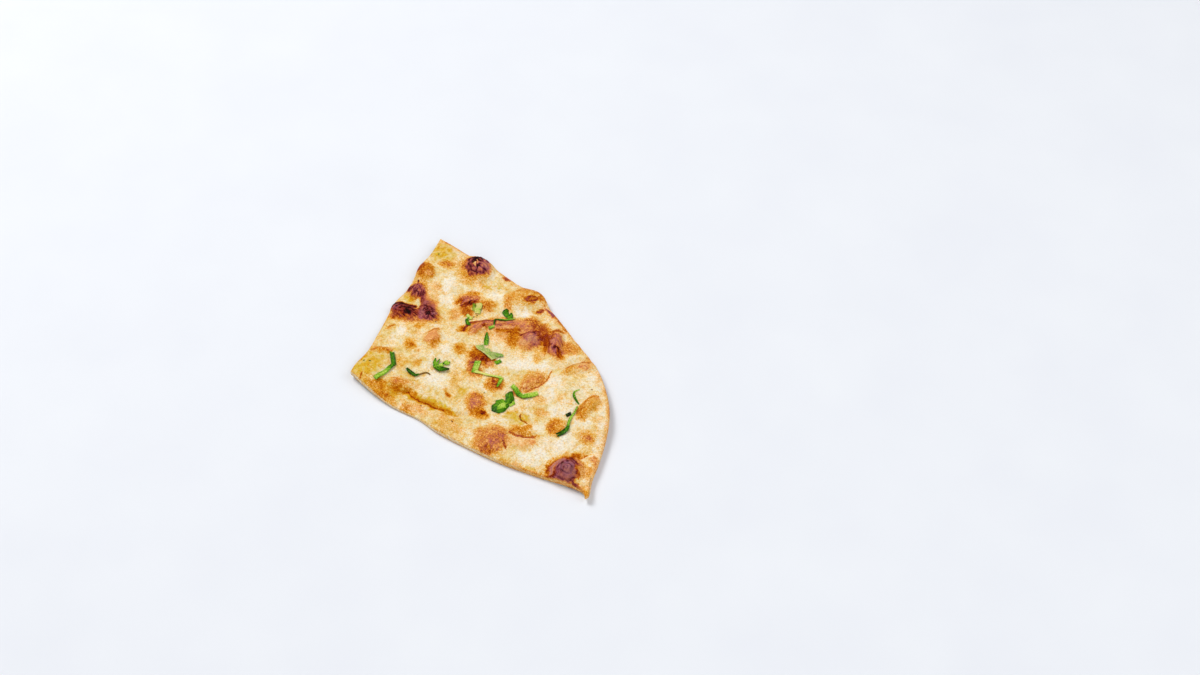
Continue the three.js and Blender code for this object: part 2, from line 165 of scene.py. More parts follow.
# Creases: depth, half width and the line that they follow.
CREASES = table("""
butter_crease 1.4 1.7 22.8,4.7 27.3,2.9 32.7,7 37.1,4.9 47.6,5.4 58,7 65,10.8
oval_crease 0.7 1.6 77.7,36.9 81.9,42.1 83.4,50.3 81.7,59.7
brown_arrow_crease 0.7 1.4 87.6,12.9 91.9,12.7 100.7,16.3
tip_crease 0.8 1.5 123,13 126.7,17.8 129,24.4
shoulder_crease 0.8 1.8 86.6,61.4 89.3,68.1 95,73
""")

# The step down to the long cut: where along it the step starts and ends, over how long a stretch
# it fades in and out, and its line, drop and run.
STEP_FROM, STEP_FADE_IN = 20, 8
STEP_TO, STEP_FADE_OUT = 68, 14
STEP_LINE, STEP_DROP, STEP_RUN = 5.3, 0.8, 2.5

# Slow swells of the whole sheet: wave lengths along X and Y, phase and height.
SWELLS = [(46, 61, 0.6, 0.28), (-29, 38, 2.1, 0.2), (21, 24, 4.0, 0.12)]

# ---- Relief and wall that only the visible crust has ----

# Grid lines of the crust along and across the long cut, and rows up its wall.
CELLS_ALONG = 320
CELLS_ACROSS = 210
EDGE_CROWDING = 0.25
RIM_SPLIT = 0.42
WALL_ROWS = 7

# Crumpled skin: x, y, half length, half width, turn, spacing, stretch along the turn, depth.
CRUMPLES = table("""
rim_char 10.4 94.5 8 6.5 150 2 1.6 0.7
flap -2.5 49.5 9 4.4 172 1.4 4 0.7
curl 8 54.5 6.5 4.4 150 1.5 2.2 0.5
short_char -5.9 64.5 5.5 4.5 100 1.6 2.5 0.4
ridge_left 35 61.5 7 3.2 64 1.1 5 0.3
ridge_middle 49 72 13 7 27 1.2 4 0.45
ridge_right 56.5 78.5 5 4 150 1.6 2.5 0.25
dome_left 61.8 68.8 6 4.8 70 2 3 0.35
dome_right 74.8 72 8 4.2 125 1.6 4 0.35
amber_dome 44 91.5 9 6.5 40 2.2 3 0.25
upper_brown 20 72.5 6.5 5 60 1.5 2 0.3
leaf_blister 49 42.5 6.5 5.5 30 1.8 2 0.3
shoulder_arc 93 67 7 3.5 46 1.4 3 0.25
rim_ridge 111.5 46.5 7 3 86 1.3 4 0.25
cut_brown 85 4 9 7.5 100 1.5 2 0.25
crease_ridge 25 7 8 4 8 1.4 4 0.35
oval 79 45 8.5 5 77 1.5 2 0.22
low_amber 63.5 19 6.5 4.5 127 1.3 1.6 0.28
low_blister 64.5 34 4.5 3.8 5 1.3 1.6 0.2
""")
# How wide the folds are, how dark the painted shade in them is and how light the painted highlight on the
# skin between them is.
FOLD_WIDTH, FOLD_PAINTED_SHADE, CREST_PAINTED_HIGHLIGHT = 0.28, 0.24, 0.13

# Rings of wrinkles on a collapsed dome: x, y, half length, half width, turn, rings, depth.
RINGS = table("""
tip_dome 126 7.5 7.5 6.5 127 2.4 0.35
curl 10.5 55 4.5 4 154 2.4 0.35
shoulder 96 67 4.5 3.2 60 2 0.25
amber_lens 46.7 90.5 4.8 2.6 43 1.6 0.2
""")
# Painted shade in the rings' folds and painted highlight on the crests between them.
RING_PAINTED_SHADE, RING_PAINTED_HIGHLIGHT = 0.12, 0.08

# Roughness of the visible crust, which lies a little lower to stay inside the frame's box.
SLOW_ROUGHNESS, FINE_ROUGHNESS = 0.14, 0.1
SUNK = 0.05

# The wall: how deep its crumb is torn, how round its section is, its tones and, last, the stretch
# of the long cut along which it browns towards the tip.
TORN_DEPTH = 0.16
WALL_ROUNDNESS = 0.6
CRUMB_TONE, FOOT_TONE, RIM_WALL_TONE = 0.12, 0.5, 0.36
WALL_BROWNS = (80, 105)

# ---- Browning: tone runs from 0, pale dough, to 1.4, black char ----

# Rosiness runs from 0, amber browning, to 1, pink browning, and further to lilac, which is partly the
# char's own mauve and partly a painted sheen, the sky's reflection on glossy domes.
FULL_TONE = 1.4

# Plain dough and how it changes, what its edges add, and what flour, marks and halos do to it.
DOUGH_TONE, LONG_CHANGE, SHORT_CHANGE = 0.115, 0.17, 0.16
DOUGH_ROSY, ROSY_CHANGE = 0.3, 0.6
DOUGH_BUTTER, BUTTER_CHANGE = 0.26, 0.25
CUT_TAN, CUT_TAN_REACH = 0.07, 4
RIM_TAN, RIM_TAN_REACH = 0.06, 3
FLOURY_FADE = 0.75
BLOTCHES = 0.22
HALO_TONE, HALO_GAIN, HALO_REACH = 0.08, 0.28, 1.9
FRAY, FRAYED_WIDTH = 0.35, 3
RIM_EDGE_TONE, RIM_EDGE_STRENGTH = 0.27, 0.85
CUT_EDGE_TONE, CUT_EDGE_STRENGTH = 0.2, 0.7
TIP_STRETCH, TIP_TAN = (85, 110), 0.4
UNDERSIDE_TONE, OVEN_SPOT_TONE = 0.12, 0.5

# Marks: x, y, half length, half width, turn, tone, softness of the edge, rosiness. Where a heading above a
# mark says so, its colour is painted highlight or painted shade.
# The pink dome: pink browning made lighter on top as a painted highlight, over a crescent of browning
# darkened by painted shade on its far side.
# curl: its purple and ring rows are painted highlights on the charred curl.
# dome_left: its light row is a painted highlight, and its dark row browning darkened further by painted
# shade on the dome's far side.
# dome_right: its light row is a painted highlight, and its dark row browning darkened further by painted
# shade on the dome's lower end.
# flap: its light row is a painted highlight on the flap's left edge.
# leaf_blister: its light row is a painted highlight.
# ridge_left: its light row is a painted highlight, and its pink row pink browning with a painted highlight.
# tip_char: its light row is a painted highlight in the middle of the charred dome.
MARKS = table("""
# far corner and short cut
rim_corner_spot -11.5 100.5 3.5 1.2 173 0.62 0.6 0.2
corner_spot -4.5 87.5 3.8 2.3 27 0.58 0.8 0.2
 core -4 88 1.6 1.1 13 0.7 0.8 0.3
short_dome -10.5 77.5 6 4.5 131 0.66 0.5 0
 left -15 78.5 3.4 2.2 114 0.84 0.7 -0.6
 top -10 80.5 2.8 1.5 162 0.62 0.8 -0.4
 pale -8 76 1.9 1.8 160 0.42 0.7 0.8
short_char_halo -5.5 65 7 5.5 139 0.52 0.8 0
short_char -6 64.5 5.4 4.2 139 0.84 0.4 0.6
 spike -10 69.5 1.2 0.7 130 1.25 0.6 0
 left -10.5 64 2.1 1.4 121 1.12 0.8 0.2
 low -1.5 61.5 2.7 2.1 117 1.12 0.8 0.3
char_link 3.6 60 6.4 4.2 129 0.84 0.7 1.1
 dark -0.5 60.5 3.4 1.8 120 1.05 0.7 0.4
char_right_halo 1.5 68 6.4 4.1 126 0.2 1 0.7
faint_top_spot 0.5 72.5 2.5 2.1 132 0.38 0.9 0.6
flap_foot -1.5 46 7.5 2.6 14 0.84 0.9 0.2
flap -2.5 49 8.8 3.9 2 1.02 0.35 0.1
 ridge -3 52.4 6.8 1.2 2 1.22 0.6 0.2
 light -8.5 49.5 2 1.1 60 0.94 0.8 1
 core -2.5 50 5.8 0.6 168 1.14 0.7 0.3
curl_foot 9 50 7.2 2.6 28 0.58 0.9 0.4
curl 7.6 54.6 6.8 4.4 165 0.95 0.35 0.6
 black 8 54.5 3.5 0.9 153 1 0.7 0.2
 purple 5.5 52.5 3.4 1.5 125 0.86 0.8 1.3
 ring 11.5 55 1.7 1.4 103 0.9 0.7 1.4
torn_white -0.5 56.6 3 1.4 111 0 0.4 0.6
streak_left -3 37 2.6 1 66 0.52 0.8 0.1
spot_left_small 9 45 2.6 1.5 25 0.47 0.9 -0.2
# charred dome on the rim and the brown patch below it
rim_char_halo 8.5 92 9.5 7.5 137 0.46 0.9 0.1
rim_char 10 94 7.7 6.2 166 0.99 0.3 0.6
 black 8.5 97.5 5.6 3 17 1.2 0.6 0.4
 low 12 92.5 2.9 1.9 87 0.86 0.8 0.8
 right 14.5 96.5 3 2.2 150 0.74 0.8 1.3
rim_crack_left 9 93 1.6 0.6 162 0.25 0.6 1
rim_crack_middle 10 95 1.7 0.5 113 0.3 0.6 1
rim_crack_low 4 93.5 1.5 0.5 102 0.6 0.7 1
rim_crack_top 11.5 98.5 1.1 0.5 170 0.6 0.7 1
upper_brown 19.5 73 6.2 5 51 0.74 0.6 0.5
 left 16.5 69.5 2.1 1.7 131 0.72 0.8 -0.3
 crown 19 79.5 3.4 1.6 46 0.56 0.8 0
 pink 20 74.5 4.6 1 79 0.55 0.7 1
 dark 21.5 71.5 4 1.5 60 1 0.8 -0.2
 right 29.5 75.5 4.7 3.1 165 0.58 0.7 0.2
 low 23.5 66.5 3.5 2.8 2 0.74 0.8 0
faint_left_of_brown 19.5 61.5 3.9 3 120 0.36 0.9 0.8
# amber dome on the rim
nick_lip 27 97 2.6 1.2 6 0.85 0.7 0.3
amber_lobe 37.5 84.5 5.6 2.9 120 0.58 0.7 0.4
amber_crown 42 95.5 7.7 3.6 38 0.6 0.6 0.2
amber_middle 42.5 90 8.7 5.3 40 0.34 0.9 0.1
amber_lens 46.5 90.5 4.6 2.2 43 0.8 0.5 0.1
amber_right 50 96.5 5 2.6 130 0.55 0.8 0.1
rim_fold_arch 54 88 2.4 1.3 61 0.92 0.7 0.2
rim_edge_red 59.5 90 4.7 1 159 0.96 0.7 0.7
# pinkish ridges and the two charred domes
ridge_ground 52 68 16 7.5 28 0.36 1 0.8
ridge_left 35.5 62 6.6 3.1 64 0.66 0.6 0.8
 line 33.5 64.5 5.9 0.8 53 0.7 0.8 -0.3
 pink 34.2 59 4.2 1.6 75 0.56 0.6 1.15
 light 33.2 56.6 2 1.4 60 0.4 0.8 1.2
 spot 37.7 62.8 1.7 1.3 60 1.05 0.8 -0.6
 tail 29 56 3.3 2.1 47 0.62 0.8 -0.5
ridge_middle 49 71.5 12.5 5.6 27 0.54 0.8 1
 red 45.3 68.4 6.5 1.2 30 0.78 0.8 0.5
 stripe 50 74 8 1.7 28 0.55 0.8 1
ridge_right 57 78.5 5.2 3.7 152 0.54 0.9 0.2
halo_below_domes 71 67.5 8.5 2.6 28 0.34 1 0
granular_amber 54 65 6.4 3.4 126 0.66 0.9 -0.2
dome_left 62.5 68.5 7 5 80 0.78 0.45 0.9
 light 62.3 67.4 4.2 2.6 65 0.5 0.7 1.35
 foot 60.8 63.8 3.4 2 20 0.38 0.8 1.2
 dark 66 74 4.2 2.4 120 1.08 0.9 0
saddle 63.5 76.5 5.2 3.8 126 0.8 0.9 0.1
dome_gap 70 71 6 1.6 111 0.95 0.9 -0.4
saddle_wrinkle 70 80.5 4.3 1.7 40 0.78 0.8 0
dome_right 75.5 71.5 8.4 4.2 128 0.76 0.5 1.1
 light 74 72.5 5 1.8 125 0.58 0.8 1.2
 dark 78.6 68.6 3.6 1.5 142 0.98 0.8 -0.5
 tail 81 66.6 2.2 1.8 125 0.86 0.8 -0.3
 crown 69.8 76 3 2 120 0.74 0.8 0.2
 side 79.5 72.4 3.4 2 120 0.76 0.8 0.8
 edge 71 71.5 5.5 1 132 0.92 0.9 -0.1
shoulder_amber 81.5 74 5.2 4 14 0.53 0.9 0.3
# middle
leaf_blister 49.5 44.5 5.8 4.7 166 0.8 0.6 -0.3
 olive 44 46 4.2 3 121 0.68 0.9 -0.4
 red 49 38 5 3.7 129 0.78 0.7 0.5
 dark 51 45.5 3.1 2.4 160 0.84 0.8 -0.2
 light 54.5 43.5 1.8 1.2 60 0.55 0.8 1
 foot 52 35 3.6 2.4 178 0.66 0.9 0.4
low_blister 64.5 34 5 4.1 5 0.66 0.7 0.1
faint_mid_upper 71 60.5 3.4 2.1 122 0.36 0.9 0.2
faint_mid_lower 65 56.5 2.7 2 127 0.22 1 0.4
oval 79 45 8.6 5 77 0.46 0.7 0.4
 pink 78.5 44 3.9 2.7 88 0.4 0.8 1
red_mark 77.5 35 2.9 1.8 146 0.74 0.8 0.7
shoulder_arc 94.5 66 8 4.4 48 0.26 0.9 0.2
 foot 90.5 61.5 3.5 2 60 0.46 0.9 0
 pink 95.7 68 4 2.6 60 0.34 0.8 1.1
# left of the middle
left_fold 3.5 21 5.1 2.1 21 0.4 0.8 0
 core 5.5 22.5 2.4 1.2 11 0.6 0.8 -0.3
strip_halo 16 20 4.6 3.1 121 0.32 1 -0.2
spot_low_left 23 24 2.5 1.8 47 0.44 0.9 0
spot_mid_left 13 32.5 4 3.1 142 0.44 0.8 -0.4
 core 13.5 32.5 1.7 1.5 152 0.6 0.8 -0.6
pink_dome_crescent 21.5 41 4.6 3.4 122 0.58 0.7 0.1
pink_dome_top 19 42.5 4.8 3.3 87 0.44 0.5 1.1
pink_dome_line 17 45.5 3.3 0.6 53 0.7 0.8 0
spot_mid 35.5 44 3.8 2.9 135 0.46 0.8 -0.4
 core 35 44 1.6 1.3 130 0.6 0.8 -0.6
 tail 39.5 43.5 2.9 1.8 166 0.38 1 0
speck_mid 19 31.5 0.9 0.9 0 0.34 0.8 0.4
pale_brown_band 46 26 8 2.8 121 0.24 1 0.3
golden_ground 54 18 5.5 3.5 100 0.16 1 0
golden_by_amber 67 23 3 2.4 20 0.24 1 0.2
golden_by_strip 75.5 31 2.8 2 30 0.26 1 0.3
small_mark 49.5 15.5 3.1 0.8 153 0.62 0.7 0
low_amber 63.5 19 7 4.8 127 0.58 0.6 0.2
 pink 63 18.5 3.7 2.7 128 0.56 0.8 1
 foot 69 14 4.5 3 0 0.6 0.8 -0.3
 dark 70.5 15.5 1.5 1.1 11 1 0.8 -0.4
# long cut
crease_slope 25 6 5.5 2 10 0.22 0.9 0
crease_ridge_pink 24.5 9 5.2 2.6 13 0.4 0.8 0.6
crease_ridge_red 22.5 9.5 2.7 1 6 0.56 0.8 0.3
spot_by_crease 17 3 3.4 3 125 0.52 0.9 -0.2
apex_strip 13.5 0.5 9.4 2 169 0.24 1 0.2
strip_spot_left 37 -2 3.6 3.1 147 0.46 0.9 0.1
strip_spot_right 55 3 2.3 1.9 2 0.42 0.9 0.8
strip_fleck 61 3 1.4 0.5 169 0.8 0.8 0
strip_tan_left 20 -1 9 3.4 169 0.52 1 0
strip_tan_middle 41 0.5 6 2.6 178 0.34 1 0.7
strip_tan_right 60 0.5 8 3.8 176 0.26 1 0.5
cut_brown 84 3.5 9.3 8.5 105 0.5 0.7 0.6
 core 86.5 4.5 6 4.4 80 0.62 1 0.8
 low 86 -2 5.7 2.6 3 0.66 0.8 0.2
 left 77 3 4.5 2.4 127 0.5 0.9 0.6
arrow 92.5 16.5 5.2 2.9 21 0.54 0.8 0
 tip 94.5 20 2 1.7 58 0.5 0.8 0
 tail 100.5 16.5 2.3 1 25 0.48 0.8 0.3
pink_lobe 97.5 10.5 7.3 3.4 28 0.28 0.8 1.1
 spot 102 13 1.7 1.2 13 0.48 0.8 1
cut_gold 94 -3.5 4.6 2.7 5 0.18 0.9 0
# right of the middle, and the rim
faint_by_leaf 94.5 32 3.3 2.4 17 0.34 0.9 0.5
faint_above_leaf 89 38 3.6 2.5 5 0.3 1 0.5
faint_inner 97 44.5 2.9 2.2 74 0.24 1 0.4
faint_low 86.5 31.5 4.4 3.3 33 0.18 1 0.4
stem_amber 106 27.5 5.4 4.2 124 0.54 0.7 0.1
 low 104 26 3.4 2.2 124 0.64 0.9 0.1
rim_ridge_arc 112 53.5 2.8 0.8 169 0.44 0.8 0.8
rim_ridge 113 46.5 7 4 80 0.36 1 0.3
 foot 112.5 40.5 4 2.5 117 0.48 0.9 0
rim_amber 122 30 4.7 4.3 165 0.4 0.8 0.2
 core 123.5 29 2.4 1.8 2 0.62 0.9 0.5
 tail 127 25 4.5 2.2 110 0.24 1 0
rim_ring 133.5 20.5 2.9 2.3 128 0.52 0.6 0.6
 pale 133 21 1.1 0.9 142 0.38 0.8 1
faint_low_right 135 13 3.5 2.1 120 0.48 0.8 0.2
# charred dome near the tip
tip_skirt 124.2 8.8 8.5 7.9 57 0.74 0.5 0
 left 119 5.5 4.6 3 70 0.86 0.6 -0.1
tip_char 126 7.6 7.6 5.7 126 0.9 0.35 1.5
 low 125.5 3 4.5 2.6 20 0.98 0.9 1.2
 light 126.4 7.8 3.6 3 120 0.82 0.9 1.5
 top 123.8 15.8 5 2.3 56 0.86 0.9 -0.4
tip_skirt_right 130.6 11 5 1.5 118 0.82 0.7 0
tip_char_left 121 2.6 3 2.2 81 0.88 0.8 0
tip_char_right 132.4 12.2 4.6 1.7 118 0.46 0.8 0.5
cut_char_spot 133 3.2 2.4 1.5 176 1 0.7 0.5
tip_hook 141.5 1.5 2.6 1.8 112 0.52 0.9 -0.3
""")

# Thin dark or golden lines: half width, tone, rosiness and the line that they follow. Some are painted
# highlights, as the headings above them say.
# A painted highlight along the middle ridge.
# A painted highlight arc on the left of the tip's charred dome.
# tip_fold: its light row is a painted highlight beside the fold.
LINES = table("""
ridge_shadow 0.7 0.98 0.2 29.5,55 29.5,61 32,64.5 36.5,67 39.5,68.5
ridge_light 0.7 0.38 1.2 44.2,65.4 46.2,66.8 48.2,68.1 50.5,69.6
ridge_foot 0.9 0.74 -0.2 44.5,63.6 46.8,65 51.5,67.5 54,69.5
dome_left_top 0.8 0.95 0.1 56.5,68 59.5,71.5 62.5,75.5
flap_top 0.9 1.25 0.1 -11,49 -10,53 -6,54 -0.5,55
left_edge 0.6 0.55 0.3 -0.5,18 2,22 8.5,23.5
butter_crease 1.2 0.42 -0.6 22.4,4.5 27.1,4.4 31.7,6.8 35.5,5.6 40.6,5.6 51,6.4 57,7
crease_olive 1.5 0.46 -0.6 24,5.6 28,6.2 32,7.6 35,6.8
butter_crease_core 0.34 0.9 -0.4 31.5,7 35.5,5.4 41,5.4 47,5.8 53,6.5
ridge_wrinkle 0.4 0.44 0 20,5.8 23.5,6.8 27.5,6.4 31,8
apex_crease 0.5 0.6 0.3 5.3,2.8 6,0.8 7,-1.2
core_crease 0.5 0.95 0.1 89.5,6 93.5,3
arrow_line 0.6 0.84 0.2 88,13 92,12.7 95,14 100.7,16.3
short_dark_line 0.32 1.3 0 86.5,24.5 88.5,22.6 92.5,22
oval_edge 0.4 0.8 0.2 80,38 83,42.5 84.2,48 83.8,53 82.5,57
rim_ridge_dark 0.8 0.58 0.1 110,40 108.9,46.7 110.2,52.4 112,54.5
shoulder_arc 0.5 0.7 0.3 88.5,61.5 90.5,65.5 93,70 97,73.2
shoulder_swirl 0.35 0.6 1 93.6,64.6 95.6,67 97.6,67 97.6,65
tip_crease 0.5 0.74 0.2 124,14 126.7,17.8 128.2,21.5
tip_arc 0.9 0.6 1.5 120.2,2.8 118.7,5.4 119,8.8 121.4,12
tip_crescent 0.6 1.16 1 128,11.8 124.6,11.6 122.2,9.2 122,5.8 123.8,3.2
tip_ring 0.4 1.1 1.2 125.6,4.8 124.4,7.2 125.6,9.6 128,9
tip_fold 0.5 1.1 0.5 122.5,15.2 125.4,14.6 128.6,13.4
 light 0.6 0.56 0.9 124.5,16.6 127.5,15.8 130,14.6
rim_edge_line 0.6 0.66 0.2 63,88.8 68,86.6 73,84
""")

# Pale floury dough: x, y, half length, half width, turn and strength.
PALE = table("""
below_short_dome 4.5 76.5 5 3.2 110 1
by_upper_brown 9.5 68 4.5 3 110 0.9
above_middle 68.5 53.5 9.5 4.8 30 1
above_oval 78 57.5 4.5 3.2 0 0.9
right_low 114 20.5 8 4.5 100 1
by_tip 108.5 10.5 6 4.5 60 0.9
by_cut 102.5 4 5 3.5 30 0.8
by_amber_lobe 29 84 5 3.5 0 0.9
by_stem 100.5 36.5 6.5 4 60 0.8
beside_oval 90 43 4 5 0 0.8
over_oval 88 52.5 5 3.5 60 0.9
by_spot_mid 30.5 39 4.5 3 0 0.9
above_crease 38.5 19.5 8 4.5 10 1
by_curl 26.5 28.5 5.5 3.5 120 0.8
left_edge 4 37 3.5 2.5 90 0.8
shoulder 103 62 5 3 140 0.7
by_big_leaf 99.5 22.5 4 3.5 0 0.8
rim_low 117 37 4 3 110 0.6
rim_upper 20 95 4 2.5 0 0.6
over_ridge 49 81.5 5 2.5 20 0.9
under_ridge 48 59 5 3.5 20 1
""")

# Butter-soaked dough: x, y, half length, half width, turn and strength.
BUTTER = table("""
apex 4 9 13 9 80 0.95
 strip 16 -1 14 3 170 0.75
far_corner -12 93 9 7 0 0.9
torn_patch -7.5 57.5 5 3.2 10 0.9
crease 42 6.5 25 2.6 4 1.1
above_crease 48 12 13 4 170 0.5
left_of_curl 22 22 11 4 60 0.6
by_strip 13 27 8 4 40 0.6
above_low_amber 54 20 8 3 100 0.75
below_curl 26 14 8 2.5 5 0.7
upper_left_spot 21 87 2.2 1.6 0 0.9
upper_right_spot 27 90.5 1.8 1.4 0 0.8
by_big_leaf 86 22 9 4 20 0.9
tip_spot 109.5 0.5 4 2 0 0.7
crease_left 22 2.5 9 4 170 0.9
long_strip 58 -2 14 3.5 0 0.6
short_edge -3 33 11 4 108 0.6
rim_upper 30 93 9 4 170 0.5
rim_shoulder 88 76 16 3.5 148 0.5
rim_ridge 113 46 7 3.5 80 0.6
tip_edge 130 3 8 2 10 0.6
leaf_blister 44 46 4.5 3 121 0.7
""")

# The crust's colours from pale dough to char: place, amber browning and pink browning. The lilac tint of
# the pink column's darker stops is partly painted sheen.
CRUST_STOPS = [
    (0, "f5eedf", "f5eee2"), (0.08, "f8e5b8", "fae5c6"), (0.16, "f5d086", "f8d09a"),
    (0.24, "efba54", "f3ba78"), (0.32, "e8a228", "eda764"), (0.4, "dc8b0c", "e29258"),
    (0.48, "cd7402", "d68264"), (0.56, "b85a02", "c4726c"), (0.64, "9e3c04", "ac5e70"),
    (0.73, "802208", "90485e"), (0.81, "60160c", "702a36"), (0.9, "3a100f", "481a22"),
    (1, "1b0d0e", "221115"),
]
# Lilac past pink browning, partly char and partly painted sheen; the butter's yellow; and the grey-brown of
# painted shade in pits.
LILAC_CHAR_AND_SHEEN, BUTTER_YELLOW, PIT_PAINTED_SHADE = "8c647a", "e5cd4c", "c4b69e"

# Grain of the crust's colour and skin, in millimetres.
BROWNING_GRAIN, CLOUD_GRAIN, TINT_GRAIN, PIT_GRAIN, PORE_GRAIN = 0.7, 2.6, 1.7, 0.9, 0.35

# ---- Coriander ----

# Shades run along a blade, from 0, nearly black, over green to 1, straw. "pale" is how light its
# left edge is, or its right edge where negative, "lift" how far it lies above the crust, "crown"
# how much its middle stands up, "fold" how much its edges do, "wave" how much it waves, "notch" how
# far its tip is cut back in the middle, "dry" how brown and "downy" how pale it is.
CORIANDER = {
    "coriander_bent_strip": [
        # Its shades run from dark green above the bend to light green below, with a painted highlight where
        # they peak in the lower half.
        flat("7.9,22.2 14.2,15.4 13.7,10.4 12.2,3.4", "10.4,22.9 16.3,16.8 16,9.8 14.5,2.8",
             "0.3 0.3 0.26 0.36 0.66 0.62 0.56", wave=0.2, fold=0.2),
    ],
    "coriander_curl": [
        strip("21.8,17.9 24.3,17.1 26.1,16.9 28.2,16.8 29.4,18.3", "0.9 1.9 2 1.6 0.7",
              "0.22 0.16 0.2 0.22 0.3", fold=0.4),
        strip("29.3,18.2 31,20.7 32.5,21.4 34.2,21.1", "0.8 0.8 0.7 0.5", "0.2 0.3 0.4", dry=0.85),
    ],
    "coriander_cluster": [
        flat("33.1,28.2 35.6,27.9 38,29 39.8,29.5", "32.7,25.4 36.4,24.8 39,26.9 39.9,29.2",
             "0.4 0.3 0.24 0.2", fold=0.8),
        flat("32.6,25.6 30.7,28 30,31", "34.6,27.4 33.2,29.4 32.4,31.9", "0.44 0.5 0.36", lift=0.2,
             fold=0.4, notch=0.5),
        flat("33.2,27.4 34.4,30.2", "35.6,27 36.6,29.6", "0.6 0.74 0.66", lift=0.5, crown=0.2),
        strip("34.2,28.6 35.2,30.4 35,32", "1.2 1 0.4", "0.34 0.42", lift=0.4),
        flat("35,30.8 34.9,32.4 35.6,33.6", "36.4,30.6 37.8,31.8 37.4,33.6", "0.6 0.7 0.6", lift=0.2,
             notch=0.3, crown=0.2),
    ],
    "coriander_sprig": [
        flat("26,62.4 27.6,62.2 30.6,60.4", "26.2,61.2 28.2,59.3 30.3,59.5", "0.26 0.34 0.22"),
        flat("25.2,65.2 28.6,64.7", "25,63.7 28.2,62.9", "0.95 0.88 0.8", crown=0.2),
        strip("27.4,61 26.9,62.6 26.9,64", "0.9 0.8 0.6", "0.3 0.35 0.5", lift=0.2),
    ],
    "coriander_dry_flake": [
        flat("24.4,73.2 25.7,71.8 25.9,69.9 27.6,67.8", "27.2,74.6 28.8,72.6 29,70.8 30,69",
             "0.9 1 0.8 0.96", crown=0.3, dry=0.16, wave=0.15),
        flat("23.1,72.3 25.5,68.5", "24.4,73 26.8,69.3", "0.4 0.6 0.75", dry=0.35),
    ],
    "coriander_upper_leaf": [
        flat("44.8,73.4 43.3,74.2 40.9,74.6 39,75.7 38.6,77.2",
             "45.6,74.6 43.6,76.4 41.8,77.6 40.8,79 39.6,79.2", "0.46 0.38 0.3 0.3 0.14", crown=0.2),
        flat("45,73.8 43.4,76.4 42.6,77.6", "46.2,75 44.8,77.2 43.4,78.4", "0.44 0.34 0.22", lift=0.2),
        strip("41.2,66 39.6,68.2 39.3,70 41.4,70.8 44.2,72.3 45.8,74 46.6,76.4",
              "1 0.8 0.8 1.1 1.5 1.2 0.7", "0.24 0.16 0.2 0.44 0.5 0.62 0.85"),
    ],
    "coriander_bit": [
        flat("39.4,63.2 41.4,65.6", "40.8,62.1 42.6,64.4", "0.45 0.72"),
    ],
    "coriander_blade": [
        strip("40.7,60.2 43,56.7 45.4,52.9", "0.7 1.6 2.3 2.4 2", "0.28 0.34 0.4 0.52", fold=0.2),
    ],
    "coriander_folded_leaf": [
        flat("41.2,50 44.3,52.2 46.2,50.6 48.6,51.7 50.4,50 52.4,51.2 56,52.4",
             "41.5,49.2 43.6,48.3 49,46.6 54.4,45.2", "0.72 0.5 0.6 0.46 0.56", pale=-0.5, fold=0.3,
             dry=0.08, downy=0.42),
        flat("53,51 55,52.2 57.2,52", "53.4,48.8 55.4,49.4 57,51", "0.56 0.44 0.4", lift=0.3, downy=0.3),
    ],
    "coriander_scrap": [
        flat("55.7,45.6 56.9,49.1", "57.6,45 58.9,47.9", "0.52 0.42"),
    ],
    "coriander_hooked_strip": [
        flat("50.7,41.6 52.5,35.6", "47.9,40.1 49.8,34.2", "0.6 0.7 0.6", pale=0.15),
        strip("51.2,35.3 53.7,36.2 58.1,36.9 61.9,37.6 65.2,38.7", "1.5 1.2 1.2 1.4 1.8",
              "0.84 0.96 0.9 0.86 0.76", lift=0.2),
        strip("65.3,39 66.2,36 66.9,32.6", "1.8 1.5 0.8", "0.66 0.6 0.5", lift=0.1),
    ],
    "coriander_big_leaf": [
        flat("71.4,22 72.3,24.2 71.2,25.2 73.6,28 76,27.6",
             "71.8,21 73.4,18.8 77.4,19.1 79.2,21.6 79.2,25.8", "0.14 0.26 0.4 0.42 0.36", crown=0.4),
        flat("74.4,24 76,26.6", "75.6,20.2 78.8,23.8", "0.6 0.74 0.62", lift=0.45, crown=0.2),
        flat("76,26.2 75,28.4 73,31 73.4,33.2", "78.8,27 78.6,31 76.6,32.8 74.8,34.8", "0.36 0.3 0.34 0.22",
             lift=0.2, crown=0.3),
        flat("77.6,27.2 78.6,30.6", "79.6,25.8 80.6,28.8", "0.72 0.6"),
    ],
    "coriander_wavy_strip": [
        flat("72.4,39 76,37.6 78.6,36.4 80.6,35.8 82.4,37.8 84.9,41.4",
             "72,36.8 75,35.4 78,33.6 82,33.4 84.9,36 87,39.8", "0.66 0.5 0.36 0.56 0.66 0.76", wave=0.2,
             fold=0.2, pale=0.15),
    ],
    "coriander_thin_stem": [
        strip("102.4,53 101.2,50.6 102.2,48.4 104.9,46.5 107.4,45.2", "0.5 0.8 1.3 1.1 0.7",
              "0.75 0.6 0.34 0.26 0.3"),
    ],
    "coriander_dark_bit": [
        flat("105.4,36.4 106.6,39", "107,35.2 108.2,37.6", "0 0.04"),
    ],
    "coriander_leafy_stem": [
        strip("107.6,43.6 108.6,39.9 108.8,37 109.5,34 110.8,30.6", "0.6 0.8 1.1 1.3 1.3",
              "0.62 0.58 0.64 0.6 0.45", wave=0.2),
        strip("110.9,31 111.5,28.4 110.8,25.8 109.2,23.2", "1.3 2.2 2.3 1.9", "0.34 0.26 0.2 0.15",
              wave=0.2, notch=0.2),
    ],
}

